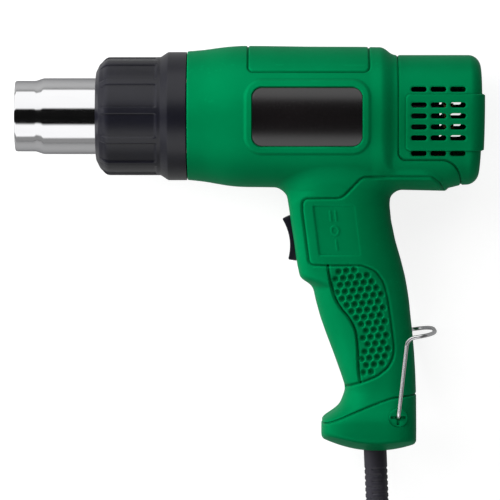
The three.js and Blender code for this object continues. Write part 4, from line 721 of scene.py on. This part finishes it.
GREEN = surface("shell_green", (0, 122, 71), (0, 130, 77), (0.34, 0.44), scale=25, grain=2600, bump=0.10,
                metallic=0.2, gloss=0.03, tint=(0, 1, 0.9, 1), painted_cavity_shade=(0.2, 0.9))
BLACK = surface("plastic_black", (15, 15, 24), (21, 21, 31), (0.30, 0.40), scale=40, grain=2400, bump=0.12,
                gloss=0.42, painted_cavity_shade=(0.5, 0.75))
LABEL = surface("label_black", (13, 11, 12), (18, 15, 16), (0.20, 0.28), scale=30, grain=3000, bump=0.02,
                gloss=0.75)
RUBBER = surface("lead_rubber", (40, 38, 47), (48, 46, 55), (0.42, 0.55), grain=2200, bump=0.12, gloss=0.45,
                 painted_cavity_shade=(0.45, 0.85))
CHROME = surface("nozzle_chrome", (216, 216, 218), (226, 226, 227), (0.06, 0.12), scale=40, grain=500,
                 bump=0.04, metallic=1.0, tint=(0.5, 0.5, 0.51, 1), stretch=(0.15, 1, 1))
BAIL = surface("bail_steel", (212, 212, 214), (226, 226, 228), (0.20, 0.25), grain=220, bump=0.01,
               metallic=1.0)
BRASS = surface("brass", (186, 152, 72), (206, 174, 96), (0.2, 0.32), scale=90, grain=1400, bump=0.03,
                metallic=1.0)
surface("motor_steel_painted_shade", (70, 71, 74), (86, 87, 90), (0.36, 0.5), scale=80, grain=1500, bump=0.04, metallic=1.0)
surface("plain_steel", (176, 177, 180), (196, 197, 200), (0.24, 0.36), scale=80, grain=1500, bump=0.04,
        metallic=1.0)
surface("ferrite", (62, 62, 64), (80, 80, 82), (0.5, 0.65), grain=1200, bump=0.1, metallic=0.3)
surface("mica", (178, 160, 128), (206, 190, 158), (0.45, 0.7), scale=140, bump=0.08)
surface("ceramic", (222, 216, 202), (236, 231, 220), (0.5, 0.65), grain=1600)
surface("board", (132, 100, 54), (152, 118, 68), (0.4, 0.55), scale=200, grain=1200)
surface("wire_jacket", (132, 40, 36), (152, 50, 44), (0.4, 0.5), grain=1800, bump=0.05)

# The motor can gets a darker steel than the other steel parts, painted shade so that the vents look dark
for part in frame["record"]["subparts"]:
    finish = "motor_steel_painted_shade" if part["node"] == "motor_can" else part["material_slot"]
    mesh = frame["nodes"][part["node"]].data
    mesh.materials.clear()
    mesh.materials.append(FINISHES[finish])

# The lead: out of the strain relief, down to the surface, into its coil and on to the plug

LEAD = 7.0
LIFT = 4.8
LEAN = math.radians(2.4)
SLEEVE_X, SLEEVE_LENGTH, SLEEVE_RADIUS = 93.8, 50, 5.75
down = np.array([math.sin(LEAN), -math.cos(LEAN), 0])
sleeve_top = np.array([SLEEVE_X, -FOOT_BOTTOM, 0]) + TOOL
MOUTH = sleeve_top + SLEEVE_LENGTH * down
LEAD_ROUTE = [(0, 0, 0), (0.4, 9, 0), (0.9, 20, 0.02), (1.5, 34, 0.14), (1.9, 48, 0.36), (2.1, 62, 0.62),
              (2.2, 76, 0.85), (2.2, 90, 0.97), (2.1, 102, 1), (2.0, 112, 1)]
LOOP_INNER, LOOP_PITCH, LOOP_TURNS, LAYER_RISE = 29.0, 7.7, 6.5, 7.6
TAIL, PLUG_HEIGHT = 42.0, 13.0
route = [np.array([MOUTH[0] + aside, MOUTH[1] - on, MOUTH[2] - (MOUTH[2] - LIFT) * fall])
         for aside, on, fall in LEAD_ROUTE]
loop_outer = LOOP_INNER + LOOP_PITCH * LOOP_TURNS / 2
loop_middle = np.array([route[-1][0] - loop_outer, route[-1][1] - LEAD - GAP, 0])


def loop_point(turn):
    away = turn - LOOP_TURNS / 2
    radius = LOOP_INNER + LOOP_PITCH * abs(away)
    angle = -2 * math.pi * turn
    climb = float(ease(np.array(away), -0.25, 0.25))
    height = LIFT + LAYER_RISE * climb
    return loop_middle + np.array([radius * math.cos(angle), radius * math.sin(angle), height])


LOOP_STEPS = 24
loops = [loop_point(k / LOOP_STEPS) for k in range(int(LOOP_TURNS * LOOP_STEPS) + 1)]
away = loops[-1] - loops[-2]
away = away * (1, 1, 0) / np.linalg.norm(away[:2])
tail_start = loops[-1] + away * (LEAD + GAP)
plug_back = np.array([tail_start[0], tail_start[1] + TAIL, PLUG_HEIGHT])
tail = [tail_start, tail_start + away * LEAD, (tail_start + plug_back) / 2, plug_back - (0, LEAD, 0),
        plug_back + (0, 6, 0)]
cord_line = route + loops + tail

cord = placed("supply_lead", bpy.data.curves.new("supply_lead", "CURVE"))
cord.data.dimensions = "3D"
cord.data.bevel_depth = LEAD / 2000
cord.data.bevel_resolution = 8
cord.data.resolution_u = 5
cord.data.use_fill_caps = True
spline = cord.data.splines.new("BEZIER")
spline.bezier_points.add(len(cord_line) - 1)
for bend, place in zip(spline.bezier_points, cord_line):
    bend.co = Vector(place) / 1000
    bend.handle_left_type = bend.handle_right_type = "AUTO"
finish_piece(cord, "tool_body", RUBBER, "lead_rubber", "power_lead", "lead_coil", "lead_tail")

# Camera, nearly straight over the tool's left side

camera = placed("camera", bpy.data.cameras.new("camera"))
bpy.context.scene.camera = camera
SENSOR, VIEW_WIDTH = 36, 0.25
eye, target = Vector((0.015, 0.095, 2.233)), Vector((0.00005, -0.0008, 0.033))
back = (eye - target).normalized()
side = Vector((0, 1, 0)).cross(back).normalized()
up = back.cross(side)
camera.matrix_world = Matrix((side, up, back)).transposed().to_4x4()
camera.location = eye
camera.data.sensor_width = SENSOR
camera.data.lens = SENSOR * (eye - target).length / VIEW_WIDTH
camera.data.clip_start = 0.05
camera.data.clip_end = 20

# Housing, rear cover and foot from one smooth form

LIP, LINING_OUT, LINING_IN = 1.6, 0.1, 1.1
FRONT_WALL = 3
points, faces, normals = skin(shell_field, FORM_LOW, FORM_HIGH, GRAIN)
points = points + normals * detail(*points.T)[:, None]
form = mesh_object("form", points, faces)


def inner_skin(name, depth):
    def field(x, y, z):
        return np.maximum(shell_field(x, y, z) + depth, FRONT_WALL - x)

    points, faces, _ = skin(field, FORM_LOW, FORM_HIGH, INNER_GRAIN)
    return mesh_object(name, points, faces)


def cover_prism(name, shift):
    return prism(name, cover_outline(shift) + [(200, -90), (200, 90)], -THROUGH, THROUGH)


def foot_prism(name, rise):
    return prism(name, [(x, y + rise) for x, y in FOOT_LINE] + [(125, -200), (55, -200)], -THROUGH, THROUGH)


def slab(name, z0, z1):
    return box(name, -60, 200, -300, 90, z0, z1)


core = inner_skin("core", WALL)

# A thin lining behind the walls; strips of it are the lips that close the seams
deep = inner_skin("deep", WALL + LINING_IN)
lining = cut(inner_skin("lining", WALL - LINING_OUT), deep)

cover_tool = cover_prism("cover_tool", 0)
cover_gap = cover_prism("cover_gap", -GAP)
foot_tool = foot_prism("foot_tool", 0)
foot_gap = foot_prism("foot_gap", GAP)

rear_cover = meet(copied(form, "rear_cover_shell"), cover_tool)
foot = meet(copied(form, "foot_shell"), foot_tool)
housing = cut(form, cover_gap, foot_gap, core)
cut(rear_cover, core)
cut(foot, core)

cover_under = cover_prism("cover_under", LIP)
cover_over = cover_prism("cover_over", -2 * LIP)
foot_under = foot_prism("foot_under", -LIP)
foot_over = foot_prism("foot_over", 2 * LIP)
cover_lip = cut(meet(copied(lining, "cover_lip"), cover_over), cover_under)
foot_lip = cut(meet(copied(lining, "foot_lip"), foot_over), foot_under)
join(join(housing, cover_lip), foot_lip)
half_lip = meet(lining, slab("half_band", -LIP, LIP))
cut(half_lip, cover_gap, foot_gap)

# Stiffening ribs inside the rear cover, above and below the motor
for name, y0, y1 in (("rib_over", 12.0, 40), ("rib_under", -40, -15.4)):
    rib = box(name, 108, 142, y0, y1, -8.8, -7.2)
    meet(rib, cover_tool)
    join(rear_cover, meet(rib, inner_skin(f"{name}_room", WALL - 0.3)))

SWITCH_TILT = 0.14535
SWITCH_EDGE = (52.805, -60.7)
SWITCH_HOLE, SWITCH_HALF = ((-14.4, -26), (14.4, -26), (14.4, 15), (-14.4, 15)), 7.75
SCREW_HOLE, SCREW_CLEAR, SCREW_HEAD = 3.2, 3.4, 2.3


def at_switch(u, v):
    c, s = math.cos(SWITCH_TILT), math.sin(SWITCH_TILT)
    return (SWITCH_EDGE[0] + u * s - v * c, SWITCH_EDGE[1] - u * c - v * s)


switch_hole = prism("switch_hole", [at_switch(u, v) for u, v in SWITCH_HOLE], -SWITCH_HALF, SWITCH_HALF)
front_hole = turned("front_hole", [(-20, 0.02), (-20, 23), (4, 23), (4, 0.02)])
cut(housing, switch_hole, front_hole)
cut(half_lip, switch_hole, front_hole)
for screw in range(1, 6):
    low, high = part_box(f"housing_screw_{screw}")
    middle = (np.array(low) + np.array(high)) * 500 - TOOL
    head = low[2] * 1000 - TOOL[2]
    hole = cross_rod("hole", middle[0], middle[1], -THROUGH, head + SCREW_HEAD, SCREW_HOLE)
    cut(housing, hole)
    shank = cross_rod("shank", middle[0], middle[1], -THROUGH, THROUGH, SCREW_CLEAR)
    cut(half_lip, shank)
left_side = slab("left_side", GAP / 2, THROUGH)
right_side = slab("right_side", -THROUGH, -GAP / 2)
housing_left = meet(copied(housing, "housing_left_shell"), left_side)
housing_right = meet(copied(housing, "housing_right_shell"), right_side)

for vx, vy in VENTS:
    a, b = VENT_HALF
    for z0, z1, up in ((12, THROUGH, 0), (-THROUGH, -12, 0.9)):
        outline = rounded(vx - a, vx + a, vy - b + up, vy + b + up, b * 0.99, steps=8)
        cut(rear_cover, prism("slot", outline, z0, z1))

sleeve_hole = cross_rod("sleeve_hole", SLEEVE_X, 0, -30, 30, SLEEVE_RADIUS + GAP)
sleeve_hole.data.transform(Matrix.Translation(Vector(to_row([SLEEVE_X, -FOOT_BOTTOM, 0])))
                           @ Matrix.Rotation(math.radians(90), 4, "X")
                           @ Matrix.Translation(-Vector(to_row([SLEEVE_X, 0, 0]))))
bush_hole = cross_rod("bush_hole", *BAIL_PIVOT, -THROUGH, THROUGH, BUSH_HOLE)
cut(foot, sleeve_hole, bush_hole)
# All that only cut or shaped these five goes
keep = {housing_left, housing_right, half_lip, rear_cover, foot}
discard(*(o for o in list(bpy.context.scene.collection.objects)
          if o.type == "MESH" and o not in keep and o.name not in frame["nodes"]))
for obj, replaced in ((housing_left, "housing_left"), (housing_right, "housing_right"),
                      (rear_cover, "rear_cover"), (foot, "foot_cap")):
    finish_piece(smoothed(obj, 40), "tool_body", GREEN, "shell_green", replaced)
half_lip.name = "half_lip"
finish_piece(smoothed(half_lip, 40), "tool_body", GREEN, "shell_green")

# Nozzle tube and heat collar

TIP, TUBE, SHEET = 17.65, 18.95, 0.9
nozzle_profile = filleted([
    (-85.9, TIP - SHEET), (-85.9, TIP - 0.35), (-85.0, TIP), (-75.6, TIP), (-71.8, TUBE), (-9.7, TUBE),
    (-9.7, 24.5), (-8.3, 24.5), (-8.3, TUBE), (20, TUBE), (20, TUBE - SHEET), (-72.0, TUBE - SHEET),
    (-75.8, TIP - SHEET),
], [0.3, 0.6, 1.2, 4, 4, 0.5, 0.3, 0.3, 0.3, 0.3, 0.3, 3.5, 3.5])
nozzle = turned("nozzle_shell", nozzle_profile, 192)
finish_piece(smoothed(nozzle, 30), "tool_body", CHROME, "nozzle_chrome", "nozzle_tube")

COLLAR, COLLAR_RIBS, RIB_START, POCKET_DEPTH = 29.5, 12, math.radians(6.3), 0.85
collar_profile = filleted([
    (-45.6, 20.45), (-45.6, 22.0), (-43.7, 25.9), (-40.2, COLLAR), (-13.4, COLLAR), (-9.6, 32.0),
    (-0.3, 32.0), (-0.3, 26.8), (-10.0, 26.8), (-10.0, 20.45),
], [0.8, 1.6, 4.0, 4.0, 1.5, 1.2, 0.4, 0.3, 0.3, 0.3])


# Shallow pockets leave ribs standing between them
def ribbed(x, r, angle):
    share = 2 * math.pi / COLLAR_RIBS
    turn = (angle - RIB_START) / share
    across = np.abs(turn - np.round(turn)) * share * COLLAR
    pocket = ease(across, 1.45, 2.15) * ease(x, -43.8, -41.0) * ease(-x, 15.0, 16.2)
    return r - np.where(r > 25, POCKET_DEPTH * pocket, 0)


collar = turned("collar_shell", divided(collar_profile, 0.6, closed=True), 480, ribbed)
finish_piece(smoothed(collar, 40), "tool_body", BLACK, "plastic_black", "heat_collar")

# Label plate, a thin sheet that follows the barrel

a, b = LABEL_HALF
boundary = rounded(LABEL_X - a, LABEL_X + a, -b, b, LABEL_CORNER, steps=8)
label_edge = np.array(divided(boundary, 0.8, closed=True))
label_middle = np.array([LABEL_X, 0.0])
shares = np.concatenate([np.linspace(0.04, 0.985, 26), [1.0]])


# Rings of points at a depth below the barrel's surface, the last one dropped a little further
def label_sheet(depth, edge_drop):
    layers = []
    for share in shares:
        xy = label_middle + share * (label_edge - label_middle)
        z = np.full(len(xy), 33.0)
        for _ in range(6):
            z = z - (barrel_field(xy[:, 0], xy[:, 1], z) + depth + (edge_drop if share == 1.0 else 0))
        layers.append(np.column_stack([xy, z]))
    return layers


layers = label_sheet(0.25, 0.12) + label_sheet(0.95, 0)[::-1]
label = outward(mesh_object("label_sheet", np.concatenate(layers), ring_faces(len(layers), len(label_edge))))
finish_piece(smoothed(label, 35), "tool_body", LABEL, "label_black", "label_plate")

# Rocker

KEY_HALF, KEY_RISE, KEY_DISH = 10.2, 4.1, 2.1
dish = [(u, KEY_RISE - KEY_DISH * (1 - (u / KEY_HALF) ** 2)) for u in np.linspace(-KEY_HALF, KEY_HALF, 25)]
rocker_outline = [(-11.4, 0.3)] + dish + [(11.4, 0.3), (KEY_HALF, -2.6), (-KEY_HALF, -2.6)]
rocker = prism("rocker_key", [at_switch(u, v) for u, v in rocker_outline], -5.5, 5.5)
finish_piece(smoothed(bevelled(rocker, 0.5, 3), 30), "rocker_body", BLACK, "plastic_black", "rocker")

# Bail and bushes

BAIL_RADIUS, BAIL_LEG, BAIL_LOOP, BAIL_SPREAD = 0.97, 40.1, 14.5, 31.95
BAIL_LEAN, BAIL_RISE = math.radians(6.1), math.radians(9)
BEND_STEPS, BAIL_SIDES = 17, 20
bush_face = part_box("bail_bush_left")[1][2] * 1000 - TOOL[2]
knee = np.array(BAIL_PIVOT) + BAIL_LEG * np.array([math.sin(BAIL_LEAN), math.cos(BAIL_LEAN)])
bail_tip = knee + BAIL_LOOP * np.array([math.cos(BAIL_RISE), math.sin(BAIL_RISE)])
half = [(*BAIL_PIVOT, bush_face - 6), (*BAIL_PIVOT, bush_face + 2.6), (*knee, BAIL_SPREAD),
        (*bail_tip, BAIL_SPREAD)]
corners = [np.array(corner) for corner in half + [(x, y, -z) for x, y, z in half[::-1]]]
# How far before its corner each bend starts, and how far after it the bend ends
bends = [(2.6, 2.6), (4, 4), (9.8, 26)]
bends += [(after, before) for before, after in bends[::-1]]
wire_line = corners[:1]
for previous, corner, following, (before, after) in zip(corners, corners[1:], corners[2:], bends):
    start = corner + (previous - corner) / np.linalg.norm(previous - corner) * before
    end = corner + (following - corner) / np.linalg.norm(following - corner) * after
    wire_line += bent(start, corner, end, BEND_STEPS)
wire_line.append(corners[-1])

# The wire's round section, carried along that line without a twist
wire = np.array(divided(wire_line, 0.8) + wire_line[-1:])
directions = np.gradient(wire, axis=0)
directions /= np.linalg.norm(directions, axis=1)[:, None]
across = np.cross(directions[0], (1, 0, 0))
angles = np.arange(BAIL_SIDES)[:, None] * 2 * math.pi / BAIL_SIDES
rings = []
for point, direction in zip(wire, directions):
    across = across - direction * (across @ direction)
    across /= np.linalg.norm(across)
    up = np.cross(direction, across)
    rings.append(point + BAIL_RADIUS * (np.cos(angles) * across + np.sin(angles) * up))
bail = outward(mesh_object("bail_wire", np.concatenate(rings), ring_faces(len(rings), BAIL_SIDES)))
finish_piece(smoothed(bail, 50), "bail_body", BAIL, "nozzle_chrome", "wire_bail")

for name, sign in (("left", 1), ("right", -1)):
    z0, z1 = sorted((sign * (bush_face - BUSH_LENGTH), sign * bush_face))
    bush = cross_rod(f"bush_{name}", *BAIL_PIVOT, z0, z1, BUSH_RADIUS, 64)
    bore = cross_rod("bore", *BAIL_PIVOT, -THROUGH, THROUGH, BUSH_BORE, 32)
    cut(bush, bore)
    x, y = BAIL_PIVOT
    s0, s1 = sorted((sign * (bush_face - CROSS_DEPTH), sign * (bush_face + 1)))
    for wide, high in ((CROSS_REACH, CROSS_HALF), (CROSS_HALF, CROSS_REACH)):
        slot = box("slot", x - wide, x + wide, y - high, y + high, s0, s1)
        cut(bush, slot)
        discard(slot)
    discard(bore)
    bush = smoothed(bevelled(bush, 0.2, 2), 30)
    finish_piece(bush, "tool_body", GREEN, "shell_green", f"bail_bush_{name}")


# Strain relief, plug and tie

def turned_about(name, profile, start, direction, sides, shape=None):
    obj = turned(name, profile, sides, shape)
    spin = Vector((1, 0, 0)).rotation_difference(Vector(direction)).to_matrix().to_4x4()
    to_start, from_axis = Matrix.Translation(Vector(start) / 1000), Matrix.Translation(-Vector(TOOL) / 1000)
    obj.data.transform(to_start @ spin @ from_axis)
    return obj


sleeve_profile = filleted([
    (-7.5, 3.8), (-7.5, 8.0), (-4.5, 8.0), (-4.5, SLEEVE_RADIUS), (30, SLEEVE_RADIUS), (SLEEVE_LENGTH, 4.7),
    (SLEEVE_LENGTH, 3.8),
], [0.3, 0.4, 0.4, 0.3, 6, 0.5, 0.3], steps=5)
RING_PITCH, RING_FIRST, RING_LAST, RING_DEPTH = 3.0, 9.0, 46.5, 0.35


# Rings cut into the sleeve, each left whole at two webs that stand crosswise in turn
def ringed(x, r, angle):
    place = (x - RING_FIRST) / RING_PITCH
    ring = np.round(place)
    slit = ease(-np.abs(place - ring) * RING_PITCH, -0.8, -0.25)
    open_side = ease(np.abs(np.sin(angle + ring * math.pi / 2 + math.pi / 4)), 0.28, 0.42)
    inside = (x > RING_FIRST - 1) & (x < RING_LAST) & (r > 4.5)
    return r - np.where(inside, RING_DEPTH * slit * open_side, 0)


sleeve = turned_about("sleeve", divided(sleeve_profile, 0.2, closed=True), sleeve_top, down, 128, ringed)
finish_piece(smoothed(sleeve, 40), "tool_body", RUBBER, "lead_rubber", "strain_relief")

PLUG_WIDEST, PLUG_EDGE, PLUG_ROUND = 17.6, 47, 0.9
# Plug: place along it, half width, half height
PLUG = smooth_table([
    (-6, 4.3, 4.3), (0, 4.5, 4.5), (17, 5.5, 5.5), (20, 9.5, 8.0), (32.5, 16.1, 12.4),
    (PLUG_EDGE, PLUG_WIDEST, PLUG_HEIGHT), (56, 17.9, PLUG_HEIGHT),
], 1.6)
PLUG_SQUARE, PLUG_SIDES = 2.6, 64
RIDGE_START, RIDGE_END, RIDGE_PITCH, RIDGE_DEPTH = 3, 16, 2.6, 0.45
PIN_RADIUS, PIN_LENGTH, PIN_ASIDE, PIN_START, SOCKET_END = 2.4, 27, 9.5, 40, 12

angles = np.arange(PLUG_SIDES) * 2 * math.pi / PLUG_SIDES
c, s = (np.sign(v) * np.abs(v) ** (2 / PLUG_SQUARE) for v in (np.cos(angles), np.sin(angles)))
rows = []
for along in np.concatenate([np.linspace(0, PLUG_EDGE, 60), PLUG_EDGE + np.array([0.4, 0.7, 0.9, 1.0])]):
    wide, tall = (float(np.interp(along, PLUG[0], column)) for column in PLUG[1])
    past = max(0.0, along - PLUG_EDGE)
    inset = PLUG_ROUND * (1 - math.sqrt(max(0.0, 1 - past ** 2)))
    if RIDGE_START < along < RIDGE_END:
        inset += RIDGE_DEPTH * (0.5 + 0.5 * math.cos(2 * math.pi * along / RIDGE_PITCH))
    wide, tall = min(wide, PLUG_WIDEST) - inset, tall - inset
    rows.append(plug_back + np.column_stack([wide * c, np.full(PLUG_SIDES, along), tall * s]))
plug_faces = ring_faces(len(rows), PLUG_SIDES)
plug = outward(mesh_object("plug_shell", np.concatenate(rows) / 1000, plug_faces, in_row=True))
for number, sign in ((1, -1), (2, 1)):
    start = plug_back + (sign * PIN_ASIDE, PIN_START, 0)
    pin_profile = filleted([(0, 0.05), (0, PIN_RADIUS), (PIN_LENGTH, PIN_RADIUS), (PIN_LENGTH, 0.05)],
                           [0, 0.2, 1.6, 0])
    pin = turned_about(f"pin_{number}", pin_profile, start, (0, 1, 0), 48)
    room = PIN_RADIUS + GAP
    socket_profile = [(-GAP, 0.02), (-GAP, room), (SOCKET_END, room), (SOCKET_END, 0.02)]
    socket = turned_about("socket", socket_profile, start, (0, 1, 0), 48)
    cut(plug, socket)
    discard(socket)
    finish_piece(smoothed(pin, 40), "tool_body", BRASS, "brass", f"plug_pin_{number}")
finish_piece(smoothed(plug, 40), "tool_body", RUBBER, "lead_rubber", "plug_body")

TIE_THICKNESS = 1


def tie_ring(inset, corner):
    return rounded(low[1] + inset, high[1] - inset, low[2] + inset, high[2] - inset, corner)


low, high = (np.array(corner) * 1000 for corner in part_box("lead_tie"))
middle_x, half_width = (low[0] + high[0]) / 2, (high[0] - low[0]) / 2
outer, inner = tie_ring(0, 3.0), tie_ring(TIE_THICKNESS, 2.0)
tie_points = []
for x, loop in ((-half_width, outer), (half_width, outer), (half_width, inner), (-half_width, inner)):
    tie_points += [(middle_x + x, *place) for place in loop]
tie_faces = ring_faces(4, len(outer), looped=True)
tie = outward(mesh_object("tie_strap", np.array(tie_points) / 1000, tie_faces, in_row=True))
finish_piece(smoothed(bevelled(tie, 0.25, 2), 40), "tool_body", BLACK, "plastic_black", "lead_tie")

# The lead's middle line, as a mesh
middle_line = placed("middle_line", cord.data.copy())
middle_line.data.bevel_depth = 0
bpy.context.view_layer.update()
run = middle_line.evaluated_get(bpy.context.evaluated_depsgraph_get()).to_mesh()
discard(middle_line)

# Floor and light: the floor's white is for what looks at it, and doesn't light the object

FLOOR_COLOUR, FLOOR_GLOW, FLOOR_MIRRORED = 0.32, 0.82, 0.15
FLOOR, FLOOR_DROP = [(-6, -6, 0), (6, -6, 0), (6, 6, 0), (-6, 6, 0)], 0.0004
SKY_COLOUR, SKY_STRENGTH, SKY_FORWARD, SKY_EDGE = 0.08, 1.3, 0.35, (0.6, 0.9)
floor = mesh_object("floor", FLOOR, [(0, 1, 2, 3)], in_row=True)
floor.location.z = -FLOOR_DROP
pale, tree, shader = new_material("floor_pale")
shader.inputs["Base Color"].default_value = grey(FLOOR_COLOUR)
shader.inputs["Roughness"].default_value = 0.9
shader.inputs["Emission Color"].default_value = grey(FLOOR_GLOW)
ray = node(tree, "ShaderNodeLightPath").outputs
direct = worked(tree, "ADD", ray["Is Camera Ray"], ray["Is Transmission Ray"])
seen = worked(tree, "MULTIPLY_ADD", ray["Is Glossy Ray"], FLOOR_MIRRORED, direct)
tree.links.new(seen, shader.inputs["Emission Strength"])
floor.data.materials.append(pale)

world = bpy.data.worlds.new("studio")
bpy.context.scene.world = world
world.use_nodes = True
tree = world.node_tree
background = tree.nodes["Background"]
parts = node(tree, "ShaderNodeSeparateXYZ")
tree.links.new(node(tree, "ShaderNodeTexCoord").outputs["Generated"], parts.inputs[0])
# Brightness by the angle from straight up: below zero towards the foot, above it towards the barrel's top
SKY = [(-180, SKY_COLOUR), (-92, SKY_COLOUR), (-88, 0.25), (-72, 0.25), (-67, 1.0), (-29, 1.0), (-22, 0.005),
       (22, 0.005), (27, 1.0), (86, 1.0), (92, SKY_COLOUR), (180, SKY_COLOUR)]
turn = worked(tree, "ARCTAN2", parts.outputs["Y"], parts.outputs["Z"])
share = worked(tree, "MULTIPLY_ADD", turn, 0.5 / math.pi, 0.5)
bright = ramped(tree, share, [(0.5 + degrees / 360, grey(level)) for degrees, level in SKY])
# The soft light reaches further round on the front side than on the rear side
along = worked(tree, "ABSOLUTE", worked(tree, "ADD", parts.outputs["X"], SKY_FORWARD))
window = node(tree, "ShaderNodeMapRange", interpolation_type="SMOOTHSTEP",
              **{"From Min": SKY_EDGE[0], "From Max": SKY_EDGE[1], "To Min": 1.0, "To Max": 0.0})
tree.links.new(along, window.inputs["Value"])
mixed = node(tree, "ShaderNodeMix", data_type="RGBA")
mixed.inputs[MIX_A].default_value = grey(SKY_COLOUR)
tree.links.new(window.outputs["Result"], mixed.inputs[MIX_FACTOR])
tree.links.new(bright, mixed.inputs[MIX_B])
tree.links.new(mixed.outputs[MIX_COLOR], background.inputs["Color"])
background.inputs["Strength"].default_value = SKY_STRENGTH

# Lamps: name, place, diameter and power, each turned to a place just under the barrel
LAMP_TARGET = Vector((0, 0.03, 0.03))
LAMPS = (("key", (-0.8, 0.17, 0.2), 0.32, 7), ("near", (-0.14, 0.17, 0.3), 0.25, 0.6))
for name, place, size, power in LAMPS:
    lamp = placed(name, bpy.data.lights.new(name, "AREA"))
    lamp.data.shape = "DISK"
    lamp.data.size = size
    lamp.data.energy = power
    lamp.location = place
    lamp.rotation_euler = (LAMP_TARGET - Vector(place)).to_track_quat("-Z", "Y").to_euler()
    lamp.visible_glossy = False

bpy.context.scene.view_settings.view_transform = "Standard"
